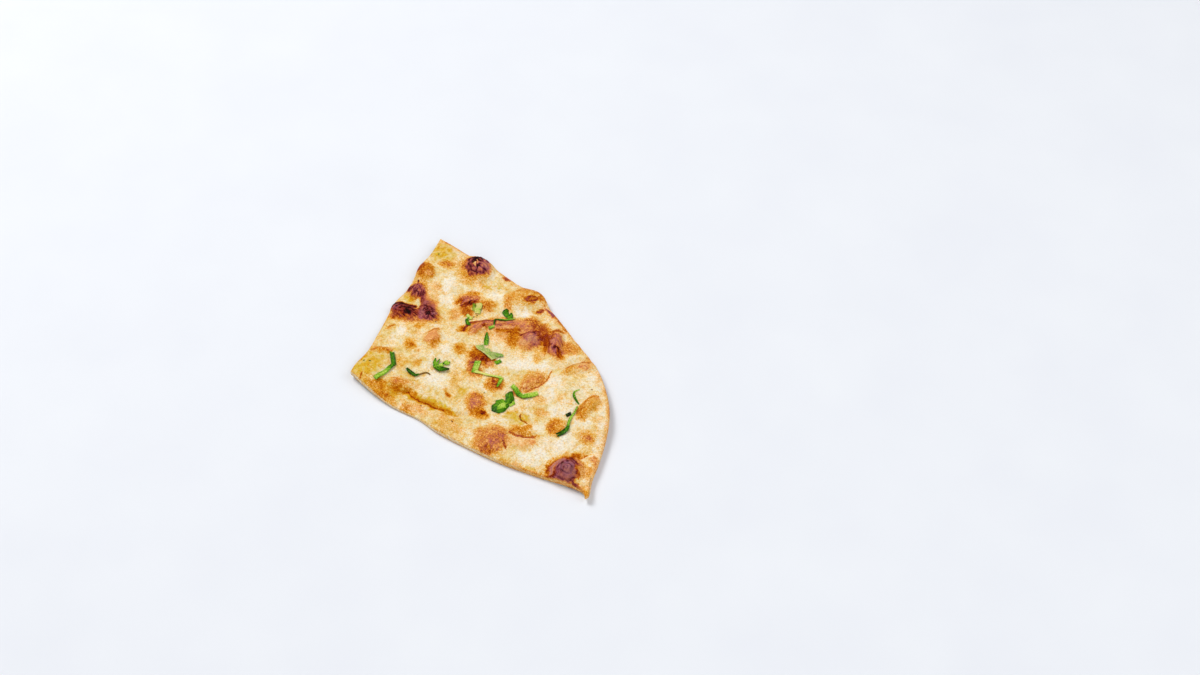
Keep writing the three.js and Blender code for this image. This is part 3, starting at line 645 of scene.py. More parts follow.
# Chips of char and of herb on the crust: x, y, length, width and turn.
CHAR_CHIPS = table("""
-10.2 70 2 0.7 120
70.6 14.8 1.1 0.7 20
107.5 56.4 1 0.6 140
61 3 1.6 0.5 169
41.7 3.3 0.8 0.5 30
16.4 93.2 0.9 0.5 60
4.8 90.6 0.8 0.5 10
14.9 51.6 0.8 0.5 80
""")
HERB_CHIPS = table("""
1.2 9.9 1.1 0.6 70
4.1 11.1 1.3 0.5 20
-12.3 90.8 1 0.6 110
63.4 26.6 0.7 0.5 50
88.6 22.4 1 0.5 160
29.6 69.2 1.1 0.5 100
29.2 67.4 0.9 0.5 100
28.4 65.8 1 0.5 60
""")
# A chip is round like a ball pressed flat: the levels of its rings, from -1 to 1, and the level
# at which it lies on the crust.
CHIP_LEVELS = (-0.7, -0.2, 0.4, 0.8)
CHIP_FOOT = -0.8
CHIP_THICKNESS = 0.16
CHIP_SIDES = 10
CHIP_REACH = 0.3

LEAF_THICKNESS = 0.22
LEAF_CLEARANCE = 0.1
LEAF_REACH = 0.9
LEAF_ROW_LENGTH = 0.22
LEAF_COLUMNS = 12
RAGGED_EDGE = 0.16
WAVE_LENGTH = 9.0
VEIN_SPACING = 1.5
LEAF_STOPS = [
    (0, "161806"), (0.12, "224204"), (0.35, "407d03"), (0.55, "76a61b"), (0.75, "b0cc4e"), (0.9, "ced070"),
    (1, "e4d080"),
]
DOWNY_UNDERSIDE, DRY_BROWN = "cec892", "805622"

# ---- Camera and light ----

AZIMUTH = math.radians(34)
ELEVATION = math.radians(47)
LENS = 70
SENSOR = 36
IMAGE_WIDTH, IMAGE_HEIGHT = 1200, 675
CAMERA_DISTANCE = 1166.7
LOOK_AT = (51.2, 39.7, 3.0)
LOOK_AT_PIXEL = (480, 368)
UP = Vector((0, 0, 1))
SKY_COLOUR = (0.98, 0.98, 1.0, 1)
SKY_STRENGTH = 0.29
FLOOR_STOPS = [(0.3, "e3e6ec"), (0.7, "e6e9ee")]
FLOOR_SIZE = 6.0
FLOOR_GAP = 0.00005


# ---- Lines, ramps and noise ----

def smooth_line(points, steps=24):
    """A smooth line through points in plan, as many short straight stretches."""
    inner = np.array(points, float)
    knots = np.vstack([2 * inner[0] - inner[1], inner, 2 * inner[-1] - inner[-2]])
    t = np.linspace(0, 1, steps, endpoint=False)[:, None]
    stretches = []
    for before, start, end, after in zip(knots, knots[1:], knots[2:], knots[3:]):
        leave = (end - before) / 2
        arrive = (after - start) / 2
        stretches.append(
            (2 * t**3 - 3 * t**2 + 1) * start + (t**3 - 2 * t**2 + t) * leave
            + (3 * t**2 - 2 * t**3) * end + (t**3 - t**2) * arrive
        )
    return np.vstack([*stretches, inner[-1:]])


def lengths_along(line):
    """Length from a line's start to each of its points."""
    return np.concatenate([[0], np.cumsum(np.hypot(*np.diff(line, axis=0).T))])


def points_at(line, fractions):
    """Points at the given fractions of a line's length."""
    lengths = lengths_along(line)
    wanted = np.asarray(fractions) * lengths[-1]
    return np.column_stack([np.interp(wanted, lengths, axis) for axis in line.T])


def evenly(line, count):
    """Points at even distances along a line."""
    return points_at(line, np.linspace(0, 1, count))


def unit(vectors):
    return vectors / np.hypot(*vectors.T)[:, None]


def to_left(directions):
    """Directions turned to the left by a quarter."""
    return np.column_stack([-directions[:, 1], directions[:, 0]])


def ramp(value, low, high):
    """A 0 to 1 ramp with level ends."""
    t = np.clip((value - low) / (high - low), 0, 1)
    return t * t * (3 - 2 * t)


def mix(first, second, share):
    return first + (second - first) * share


def distance_to(line, x, y):
    """Distance in plan from each (x, y) to a line."""
    nearest = np.full(np.shape(x), np.inf)
    for (ax, ay), (bx, by) in zip(line, line[1:]):
        dx, dy = bx - ax, by - ay
        t = np.clip(((x - ax) * dx + (y - ay) * dy) / (dx * dx + dy * dy), 0, 1)
        nearest = np.minimum(nearest, (x - ax - t * dx) ** 2 + (y - ay - t * dy) ** 2)
    return np.sqrt(nearest)


def in_ellipse(x, y, centre_x, centre_y, half_length, half_width, turn):
    """Each (x, y) in an ellipse's own axes, and how far out it is: 1 on the outline."""
    angle = math.radians(turn)
    dx, dy = x - centre_x, y - centre_y
    along = (dx * math.cos(angle) + dy * math.sin(angle)) / half_length
    across = (dy * math.cos(angle) - dx * math.sin(angle)) / half_width
    return along, across, np.hypot(along, across)


class Noise:
    """Smooth seeded noise over the plan, from about -1 to 1."""

    def __init__(self, seed, size=1024):
        draw = np.random.default_rng(seed)
        angles = draw.uniform(0, math.tau, size)
        self.slope_x, self.slope_y = np.cos(angles), np.sin(angles)
        self.order = draw.permutation(size)
        self.size = size

    def corner(self, i, j, u, v):
        pick = self.order[(self.order[i % self.size] + j) % self.size]
        return self.slope_x[pick] * u + self.slope_y[pick] * v

    def __call__(self, x, y, wavelength):
        u, v = np.asarray(x) / wavelength, np.asarray(y) / wavelength
        i, j = np.floor(u).astype(int), np.floor(v).astype(int)
        u, v = u - i, v - j
        fade_u, fade_v = (t**3 * (6 * t * t - 15 * t + 10) for t in (u, v))
        low = mix(self.corner(i, j, u, v), self.corner(i + 1, j, u - 1, v), fade_u)
        high = mix(self.corner(i, j + 1, u, v - 1), self.corner(i + 1, j + 1, u - 1, v - 1), fade_u)
        return 1.5 * mix(low, high, fade_v)

    def layered(self, x, y, wavelength, layers=3):
        """Noise with finer and weaker layers on top."""
        total = sum(0.5**k * self(x, y, wavelength / 2**k) for k in range(layers))
        return total / (2 - 0.5 ** (layers - 1))


warp_x, warp_y, mottle, wrinkle, patchy = (Noise(seed) for seed in (11, 12, 13, 14, 15))

long_cut, rim, short_cut = (smooth_line(points) for points in (LONG_CUT, RIM, SHORT_CUT))
long_line, short_line, rim_line = evenly(long_cut, 121), evenly(short_cut, 121), evenly(rim, 161)
crease_lines = [(depth, width, evenly(smooth_line(path), 25)) for depth, width, path in CREASES]


# ---- Heights of the bread's two faces ----

def to_cuts(x, y):
    """Distance from each (x, y) to the nearer cut."""
    return np.minimum(distance_to(long_line, x, y), distance_to(short_line, x, y))


def lift_at(x, y):
    """How far the sheet's corners lift the underside off the table."""
    lift = np.zeros(np.shape(x))
    for lift_x, lift_y, reach, rise in LIFTS:
        inside = np.maximum(0, 1 - ((x - lift_x) ** 2 + (y - lift_y) ** 2) / reach**2)
        lift += rise * inside**2
    return lift


def underside_at(x, y):
    """Height of the underside, which also curls up at the rim."""
    near_rim = np.maximum(0, 1 - distance_to(rim_line, x, y) / UNDERSIDE_CURL_WIDTH)
    return lift_at(x, y) + UNDERSIDE_CURL * near_rim**2


def sheet_thickness(x, y):
    """Thickness of the plain sheet, thinner towards the cuts and thinnest at the rim."""
    lost_at_cut = (CRUMB_THICKNESS - CUT_THICKNESS) * np.exp(-to_cuts(x, y) / CUT_ROUNDING)
    from_rim = np.exp(-distance_to(rim_line, x, y) / RIM_ROUNDING)
    lost_at_rim = (CRUMB_THICKNESS - RIM_THICKNESS - UNDERSIDE_CURL) * from_rim
    return CRUMB_THICKNESS - np.maximum(lost_at_cut, lost_at_rim)


def step_at(x, y):
    """Depth of the step down to the long cut."""
    ends = ramp(x, STEP_FROM, STEP_FROM + STEP_FADE_IN) * (1 - ramp(x, STEP_TO - STEP_FADE_OUT, STEP_TO))
    return STEP_DROP * ends * ramp(STEP_LINE - y, 0, STEP_RUN)


def blisters_at(x, y):
    """Height that the blisters add: the tallest one, and a share of the others there."""
    tallest = np.zeros(np.shape(x))
    total = np.zeros(np.shape(x))
    for *ellipse, rise in BLISTERS:
        *_, out = in_ellipse(x, y, *ellipse)
        height = rise * np.maximum(0, 1 - (out / BLISTER_SPREAD) ** 2) ** 1.5
        tallest = np.maximum(tallest, height)
        total += height
    return mix(tallest, total, BLISTER_SHARE)


def plain_top_at(x, y):
    """The crust without its fine relief, as the frame has it."""
    height = lift_at(x, y) + sheet_thickness(x, y) - step_at(x, y) + blisters_at(x, y)
    for length_x, length_y, phase, swell in SWELLS:
        height += swell * np.sin(math.tau * (x / length_x + y / length_y) + phase)
    for depth, width, line in crease_lines:
        height -= depth * np.exp(-((distance_to(line, x, y) / width) ** 2))
    return height


def wrinkles_at(x, y):
    """Depth of the wrinkles in crumpled and collapsed blisters, and the painted shade in their folds less
    the painted highlight between them.
    """
    depth_sum = np.zeros(np.shape(x))
    painted_wrinkle_light = np.zeros(np.shape(x))
    for *ellipse, spacing, stretch, depth in CRUMPLES:
        along, across, out = in_ellipse(x, y, *ellipse)
        _, _, long, wide, _ = ellipse
        weight = 1 - ramp(out, 0.6, 1.2)
        waves = np.abs(wrinkle(along * long / stretch, across * wide, spacing))
        fold = weight * (1 - ramp(waves, 0, FOLD_WIDTH))
        depth_sum += depth * fold
        painted_wrinkle_light += FOLD_PAINTED_SHADE * fold - CREST_PAINTED_HIGHLIGHT * weight * ramp(waves, 0.35, 0.7)
    for *ellipse, rings, depth in RINGS:
        *_, out = in_ellipse(x, y, *ellipse)
        out = out + 0.2 * wrinkle(x, y, 2.6)
        weight = 1 - ramp(out, 0.75, 1.1)
        circles = np.cos(math.tau * rings * out)
        fold = weight * ramp(circles, 0.3, 1)
        depth_sum += depth * fold
        painted_wrinkle_light += RING_PAINTED_SHADE * fold - RING_PAINTED_HIGHLIGHT * weight * ramp(-circles, 0.2, 1)
    return depth_sum, painted_wrinkle_light


def top_at(x, y):
    """The visible crust, with wrinkles and small unevenness."""
    wrinkle_depth, _ = wrinkles_at(x, y)
    uneven = SLOW_ROUGHNESS * mottle.layered(x, y, 5.5) + FINE_ROUGHNESS * patchy.layered(x, y, 1.6, 2)
    return plain_top_at(x, y) - wrinkle_depth + uneven - SUNK


# ---- Browning and butter of the crust ----

def warped(x, y, strength):
    """Places that are shifted about, so that no mark keeps a clean outline."""
    shifts = [warp(x, y, 4.5) + 0.6 * warp(x, y, 1.7) for warp in (warp_x, warp_y)]
    return x + strength * shifts[0], y + strength * shifts[1]


def cover_at(patches, x, y, solid):
    """How strongly soft patches cover each (x, y). They are full up to `solid` of their size."""
    places_x, places_y = warped(x, y, 2)
    cover = np.zeros(np.shape(x))
    for *ellipse, strength in patches:
        *_, out = in_ellipse(places_x, places_y, *ellipse)
        cover = np.maximum(cover, strength * (1 - ramp(out, solid, 1.4)))
    return cover


def browned(x, y, tone, rosy):
    """Tone and rosiness after the marks and lines are laid over plain dough, and after the wrinkles'
    painted shade and highlight.
    """
    wx, wy = warped(x, y, 1)
    frayed = FRAY * patchy.layered(x, y, 2.4, 2)
    blotchy = 1 + BLOTCHES * mottle.layered(x, y, 3.2)
    for *ellipse, mark_tone, softness, mark_rosy in MARKS:
        *_, out = in_ellipse(wx, wy, *ellipse)
        out = out + frayed * min(1, FRAYED_WIDTH / ellipse[3])
        weight = 1 - ramp(out, 0.95 - 0.65 * softness, 1 + 0.6 * softness)
        tone = mix(tone, mark_tone * blotchy, weight)
        rosy = mix(rosy, mark_rosy, weight)
    wx, wy = warped(x, y, 0.5)
    for half_width, line_tone, line_rosy, path in LINES:
        away = distance_to(smooth_line(path, 6), wx, wy)
        weight = 1 - ramp(away / half_width, 0.3, 1.5)
        tone = mix(tone, line_tone, weight)
        rosy = mix(rosy, line_rosy, weight)
    # The wrinkles' painted shade darkens the tone in their folds, and their painted highlight lightens it
    # between them.
    _, dark = wrinkles_at(x, y)
    return tone + dark * (ramp(tone, 0.2, 0.5) + 0.7 * ramp(tone, 0.7, 1.0)), rosy


def halos_at(x, y):
    """The golden glow round every mark."""
    wx, wy = warped(x, y, 1)
    glow = np.zeros(np.shape(x))
    for *ellipse, mark_tone, _, _ in MARKS:
        *_, out = in_ellipse(wx, wy, *ellipse)
        away = np.maximum((out - 1) * min(ellipse[2:4]), 0)
        glow = np.maximum(glow, (HALO_TONE + HALO_GAIN * mark_tone) * np.exp(-away / HALO_REACH))
    return glow * (0.9 + 0.4 * patchy(x, y, 3))


def edged(tone, edge_tone, weight):
    """Tone that is drawn up to the edge's own where it is paler."""
    return np.where(tone < edge_tone, mix(tone, edge_tone, weight), tone)


def paint_at(x, y):
    """Tone, rosiness and butter of the crust at each (x, y)."""
    to_rim = distance_to(rim_line, x, y)
    to_cut = to_cuts(x, y)
    floury = cover_at(PALE, x, y, 0.4)

    tone = DOUGH_TONE + LONG_CHANGE * mottle.layered(x, y, 9) + SHORT_CHANGE * patchy.layered(x, y, 3, 2)
    tone += CUT_TAN * np.exp(-to_cut / CUT_TAN_REACH) + RIM_TAN * np.exp(-((to_rim / RIM_TAN_REACH) ** 2))
    tone = np.maximum(tone, halos_at(x, y)) * (1 - FLOURY_FADE * floury)
    rosy = DOUGH_ROSY + ROSY_CHANGE * patchy(x, y, 5) + 0.3 * ramp(7 - to_rim, 0, 5)
    tone, rosy = browned(x, y, tone, rosy)

    rim_weight = RIM_EDGE_STRENGTH * (1 - ramp(to_rim + 0.3 * warp_x(x, y, 3), 0.8, 2.4))
    tone = edged(tone, RIM_EDGE_TONE + 0.25 * patchy(x, y, 7), rim_weight)
    cut_weight = CUT_EDGE_STRENGTH * (1 - ramp(to_cut + 0.3 * warp_y(x, y, 3), 0.3, 1.3))
    near_tip = TIP_TAN * ramp(x, *TIP_STRETCH)
    tone = edged(tone, CUT_EDGE_TONE + 0.25 * patchy(x, y, 9) + near_tip, cut_weight)

    butter = DOUGH_BUTTER + 0.3 * ramp(mottle(x, y, 13), -0.3, 0.8) + BUTTER_CHANGE * patchy(x, y, 3.5)
    butter *= (1 - floury) * (1 - 0.6 * ramp(9 - to_rim, 0, 6) * ramp(x, 85, 105))
    butter = np.maximum(butter, cover_at(BUTTER, x, y, 0.5) * (1.1 + 0.3 * patchy(x, y, 3)))
    butter *= 1 - ramp(rosy, 1.0, 1.3) * (1 - ramp(tone, 0.6, 0.8))
    return tone, np.clip(rosy, -0.6, 1.5), np.clip(butter, 0, 1.3)


# ---- Meshes ----

plan_outline = np.vstack([long_line, rim_line, short_line])
plan_middle = (plan_outline.min(axis=0) + plan_outline.max(axis=0)) / 2
box_low, box_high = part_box("bread")
box_middle = np.array([(box_low.x + box_high.x) / 2, (box_low.y + box_high.y) / 2, 0])


def to_frame(points):
    """Plan millimetres to metres in the frame."""
    return (np.asarray(points) - [*plan_middle, 0]) / 1000 + box_middle


def put_in_scene(name, data):
    thing = bpy.data.objects.new(name, data)
    bpy.context.scene.collection.objects.link(thing)
    return thing


def ring(grid):
    """The outer entries of a grid, in turn round its outline."""
    return np.concatenate([grid[:-1, 0], grid[-1, :-1], grid[:0:-1, -1], grid[0, :0:-1]])


class Parts:
    """A mesh that grows part by part, with named values at its points."""

    def __init__(self):
        self.points, self.faces, self.values = [], [], {}

    def add(self, points, **values):
        """Add points, with one value each or one for all, and return their numbers."""
        first = sum(len(part) for part in self.points)
        self.points.append(points)
        for name, value in values.items():
            self.values.setdefault(name, []).append(np.broadcast_to(np.ravel(value), len(points)))
        return first + np.arange(len(points))

    def sheet(self, grid):
        """Faces over a grid of point numbers."""
        corners = [grid[:-1, :-1], grid[1:, :-1], grid[1:, 1:], grid[:-1, 1:]]
        self.faces += np.dstack(corners).reshape(-1, 4).tolist()

    def band(self, below, above):
        """Faces between two rings of point numbers, one above the other."""
        corners = [below, np.roll(below, -1), np.roll(above, -1), above]
        self.faces += np.column_stack(corners).tolist()

    def build(self, name, material, replaces=None):
        """The smooth piece, moved to the frame, which rides on the bread."""
        mesh = bpy.data.meshes.new(name)
        mesh.from_pydata(to_frame(np.vstack(self.points)).tolist(), [], self.faces)
        for value_name, parts in self.values.items():
            layer = mesh.attributes.new(value_name, "FLOAT", "POINT")
            layer.data.foreach_set("value", np.concatenate(parts).astype(np.float32))
        mesh.shade_smooth()
        mesh.materials.append(material)
        piece = put_in_scene(name, mesh)
        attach(piece, "root")
        if replaces:
            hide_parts(replaces)
        return piece


# ---- Materials ----

def srgb(colour):
    """Screen colour in hexadecimal as linear colour."""
    channels = [channel / 255 for channel in bytes.fromhex(colour)]
    return tuple(c / 12.92 if c <= 0.04045 else ((c + 0.055) / 1.055) ** 2.4 for c in channels) + (1,)


class Shader:
    """A new Principled material and short ways to add nodes to it."""

    def __init__(self, name):
        self.material = bpy.data.materials.new(name)
        self.material.use_nodes = True
        self.tree = self.material.node_tree
        self.surface = self.tree.nodes["Principled BSDF"]

    def node(self, kind, inputs=None, **settings):
        node = self.tree.nodes.new(kind)
        for key, value in settings.items():
            setattr(node, key, value)
        for key, value in (inputs or {}).items():
            self.feed(node.inputs[key], value)
        return node

    def feed(self, socket, value):
        if isinstance(value, bpy.types.NodeSocket):
            self.tree.links.new(value, socket)
        else:
            socket.default_value = value

    def value(self, name):
        return self.node("ShaderNodeAttribute", attribute_name=name).outputs["Fac"]

    def noise(self, grain_mm, detail, roughness=0.55, distortion=0.0):
        inputs = {
            "Vector": self.node("ShaderNodeTexCoord").outputs["Object"], "Scale": 1000 / grain_mm,
            "Detail": detail, "Roughness": roughness, "Distortion": distortion,
        }
        return self.node("ShaderNodeTexNoise", inputs).outputs["Fac"]

    def math(self, operation, *values, clamp=False):
        inputs = dict(enumerate(values))
        return self.node("ShaderNodeMath", inputs, operation=operation, use_clamp=clamp).outputs[0]

    def spread(self, value, low, high, to_low, to_high):
        inputs = {"Value": value, "From Min": low, "From Max": high, "To Min": to_low, "To Max": to_high}
        return self.node("ShaderNodeMapRange", inputs).outputs["Result"]

    def ramp(self, value, stops):
        node = self.node("ShaderNodeValToRGB", {"Fac": value})
        elements = node.color_ramp.elements
        while len(elements) < len(stops):
            elements.new(0.5)
        for element, (place, colour) in zip(elements, stops):
            element.position = place
            element.color = srgb(colour)
        return node.outputs["Color"]

    def mix(self, factor, first, second, blend="MIX"):
        """Two colours mixed, where the second is written in hexadecimal or comes from a node."""
        node = self.node("ShaderNodeMix", {"Factor": factor}, data_type="RGBA", blend_type=blend)
        colours = [socket for socket in node.inputs if socket.type == "RGBA"]
        second = srgb(second) if isinstance(second, str) else second
        for socket, value in zip(colours, (first, second)):
            self.feed(socket, value)
        return next(socket for socket in node.outputs if socket.type == "RGBA")

    def bump(self, height, depth_mm, strength, **below):
        inputs = {"Height": height, "Distance": depth_mm / 1000, "Strength": strength, **below}
        return self.node("ShaderNodeBump", inputs).outputs["Normal"]

    def set(self, **inputs):
        for key, value in inputs.items():
            self.feed(self.surface.inputs[key.replace("_", " ")], value)


def crust_material():
    """Baked dough: granular browning over cream, butter-soaked patches and dry char, with a lilac painted
    sheen on the rosiest domes and painted shade in tiny pits.
    """
    shader = Shader("naan_crust")
    tone, rosy = shader.value("tone"), shader.value("rosy")
    grain = shader.math("SUBTRACT", shader.noise(BROWNING_GRAIN, 4, 0.8), 0.5)
    cloud = shader.math("SUBTRACT", shader.noise(CLOUD_GRAIN, 4, 0.6, 0.4), 0.5)
    tint = shader.math("SUBTRACT", shader.noise(TINT_GRAIN, 3, 0.7), 0.5)

    # The grain is strongest where the dough is brown, and weak on char and on pink blisters.
    toasted = shader.spread(tone, 0.12, 0.5, 0.0, 1.0)
    grain_gain = shader.spread(toasted, 0.0, 1.0, 1.15, 2.2)
    grain_gain = shader.math("MULTIPLY", grain_gain, shader.spread(tone, 0.65, 0.95, 1.0, 0.45))
    grain_gain = shader.math("MULTIPLY", grain_gain, shader.spread(rosy, 0.5, 1.1, 1.0, 0.6))
    toned = shader.math("MULTIPLY_ADD", grain, grain_gain, tone)
    toned = shader.math("MULTIPLY_ADD", cloud, shader.spread(toasted, 0.0, 1.0, 0.3, 0.5), toned)
    place = shader.math("DIVIDE", toned, FULL_TONE, clamp=True)

    blush = shader.math("MULTIPLY_ADD", tint, 1.25, rosy)
    blush = shader.math("MULTIPLY_ADD", grain, -1.9, blush, clamp=True)
    amber_ramp, rosy_ramp = (
        shader.ramp(place, [(stop[0], stop[side]) for stop in CRUST_STOPS]) for side in (1, 2)
    )
    colour = shader.mix(blush, amber_ramp, rosy_ramp)
    # Past rosiness 1.1 the colour turns lilac: the char's own mauve together with a painted sheen on glossy
    # domes.
    colour = shader.mix(shader.spread(rosy, 1.1, 1.5, 0.0, 0.5), colour, LILAC_CHAR_AND_SHEEN)

    soaked = shader.math("MULTIPLY", shader.value("butter"), shader.spread(cloud, -0.2, 0.2, 0.6, 1.2))
    soaked = shader.math("MULTIPLY_ADD", tint, -0.5, soaked, clamp=True)
    colour = shader.mix(soaked, colour, BUTTER_YELLOW, "MULTIPLY")
    # Painted shade: specks of grey-brown darkening that stand for the shade in tiny pits of the crust.
    pit_painted_shade = shader.spread(shader.noise(PIT_GRAIN, 3, 0.7), 0.44, 0.7, 0.0, 0.55)
    colour = shader.mix(pit_painted_shade, colour, PIT_PAINTED_SHADE, "MULTIPLY")

    pores = shader.bump(shader.noise(PORE_GRAIN, 2), 0.05, 0.6)
    shader.set(
        Base_Color=colour, Roughness=shader.spread(soaked, 0.0, 0.8, 0.62, 0.42),
        Normal=shader.bump(grain, 0.3, 0.9, Normal=pores), Specular_IOR_Level=0.03,
        Subsurface_Weight=0.15, Subsurface_Scale=0.0015, Subsurface_Radius=(1.0, 0.6, 0.35),
    )
    return shader.material


def leaf_material():
    """Fresh leaf: light veins, darker blade, pale undersides and a faint sheen."""
    shader = Shader("coriander_leaf")
    mottling = shader.math("SUBTRACT", shader.noise(0.8, 3, 0.7), 0.53)
    mottled = shader.math("MULTIPLY_ADD", mottling, 1.2, shader.value("shade"))
    veined = shader.math("MULTIPLY_ADD", shader.value("vein"), 0.15, mottled)
    patches = shader.spread(shader.noise(1.1, 3, 0.7), 0.38, 0.62, 0.3, 1.6)
    downy = shader.math("MULTIPLY", shader.value("downy"), patches, clamp=True)
    colour = shader.mix(downy, shader.ramp(veined, LEAF_STOPS), DOWNY_UNDERSIDE)
    colour = shader.mix(shader.value("dry"), colour, DRY_BROWN)
    normal = shader.bump(shader.noise(0.4, 2), 0.04, 0.5)
    shader.set(Base_Color=colour, Roughness=0.45, Normal=normal, Specular_IOR_Level=0.07)
    return shader.material


def floor_material():
    """Plain pale table top with a trace of unevenness."""
    shader = Shader("pale_floor")
    shader.set(Base_Color=shader.ramp(shader.noise(60, 2), FLOOR_STOPS), Roughness=0.8)
    return shader.material


# ---- The bread ----

def crowded(cells):
    """Positions from 0 to 1 that crowd towards both ends."""
    t = np.linspace(0, 1, cells + 1)
    return t - EDGE_CROWDING * np.sin(math.tau * t) / math.tau


def bread_plan():
    """Plan of the crust's grid, drawn in by the wall's bulge, and the outline itself."""
    along, across = crowded(CELLS_ALONG), crowded(CELLS_ACROSS)
    front, left = points_at(long_cut, along), points_at(short_cut, across)
    right = points_at(rim, RIM_SPLIT * across)
    back = points_at(rim, 1 - (1 - RIM_SPLIT) * along)
    outline = np.vstack([front[:-1], right[:-1], back[:0:-1], left[:0:-1]])
    inward = to_left(unit(np.roll(outline, -1, axis=0) - np.roll(outline, 1, axis=0)))
    at_rim = ramp(to_cuts(*outline.T), 0, 6)
    inset = outline + inward * mix(CUT_BULGE, RIM_BULGE, at_rim)[:, None]

    # The corners are met after the long cut, the right part of the rim and the rest of it.
    first = CELLS_ALONG
    second = first + CELLS_ACROSS
    third = second + CELLS_ALONG
    front, right, back = inset[: first + 1], inset[first : second + 1], inset[second : third + 1][::-1]
    left = np.vstack([inset[third:], inset[:1]])[::-1]
    u, v = along[:, None, None], across[None, :, None]
    sides = mix(front[:, None], back[:, None], v) + mix(left[None], right[None], u)
    corners = mix(mix(front[0], front[-1], u), mix(back[0], back[-1], u), v)
    return sides - corners, inset, outline, at_rim


def add_underside(parts, x, y):
    """The underside: every second point of the grid, and all those on its outline."""
    kept = np.zeros(x.shape, bool)
    kept[::2, ::2] = True
    kept[[0, -1]] = kept[:, [0, -1]] = True
    grid = np.full(x.shape, -1)
    ux, uy = x[kept], y[kept]
    spots = ramp(patchy.layered(ux, uy, 9, 3), 0.1, 0.45)
    tone = UNDERSIDE_TONE + OVEN_SPOT_TONE * spots + 0.08 * mottle(ux, uy, 3)
    points = np.column_stack([ux, uy, underside_at(ux, uy)])
    grid[kept] = parts.add(points, tone=tone, rosy=0.2, butter=0)
    for i in range(0, CELLS_ALONG, 2):
        for j in range(0, CELLS_ACROSS, 2):
            cell = ring(grid[i : i + 3, j : j + 3])[::-1]
            parts.faces.append(cell[cell >= 0].tolist())
    return grid


def bread(material):
    """The whole wedge as one closed mesh: crust, underside and the wall between them."""
    plan, inset, outline, at_rim = bread_plan()
    x, y = plan[..., 0], plan[..., 1]
    parts = Parts()
    tone, rosy, butter = paint_at(x, y)
    height = top_at(x, y)
    top = parts.add(np.dstack([plan, height]).reshape(-1, 3), tone=tone, rosy=rosy, butter=butter)
    top = top.reshape(x.shape)
    parts.sheet(top)
    lower = ring(add_underside(parts, x, y))

    edge_x, edge_y = outline.T
    low, high = underside_at(*inset.T), ring(height)
    edge_tone, edge_rosy = ring(tone), ring(rosy)
    near_tip = ramp(edge_x, *WALL_BROWNS)
    for row in range(1, WALL_ROWS):
        share = row / WALL_ROWS
        torn = TORN_DEPTH * (1 - at_rim) * (1 + wrinkle(edge_x, edge_y + 3 * row, 1.4))
        out = math.sin(math.pi * share) ** WALL_ROUNDNESS - torn
        foot = ramp(0.4 - share, 0, 0.3)
        crumb = CRUMB_TONE + 0.16 * patchy(edge_x + 5 * share, edge_y, 2) + 0.16 * near_tip
        cut_tone = mix(crumb, np.maximum(0.22, 0.8 * edge_tone), ramp(share, 0.6, 0.9))
        cut_tone = mix(cut_tone, FOOT_TONE, foot)
        # The rim wall darkens towards its foot: browned underside together with painted shade under the
        # rim's bulge.
        rim_tone = RIM_WALL_TONE + 0.2 * patchy(edge_x, edge_y, 7) + 0.5 * foot
        upper = parts.add(
            np.column_stack([mix(inset, outline, out[:, None]), mix(low, high, share)]),
            tone=mix(cut_tone, np.maximum(rim_tone, 0.75 * edge_tone), at_rim),
            rosy=0.5 + 0.2 * edge_rosy + 0.3 * foot,
            butter=(0.15 + 0.2 * near_tip) * (1 - at_rim),
        )
        parts.band(lower, upper)
        lower = upper
    parts.band(lower, ring(top))
    parts.build("naan_crust", material, "bread")


# ---- The coriander ----

def crust_under(x, y, reach):
    """The highest point of the crust within reach of each (x, y)."""
    around = [(0, 0), (reach, 0), (-reach, 0), (0, reach), (0, -reach)]
    return np.max([top_at(x + dx, y + dy) for dx, dy in around], axis=0)


def edges_of_strip(path, widths):
    """Left and right edge of a strip along a path."""
    line = smooth_line(path, 40)
    place = lengths_along(line)
    width = np.interp(place / place[-1], np.linspace(0, 1, len(widths)), widths)
    aside = to_left(unit(np.gradient(line, axis=0))) * width[:, None] / 2
    return line + aside, line - aside


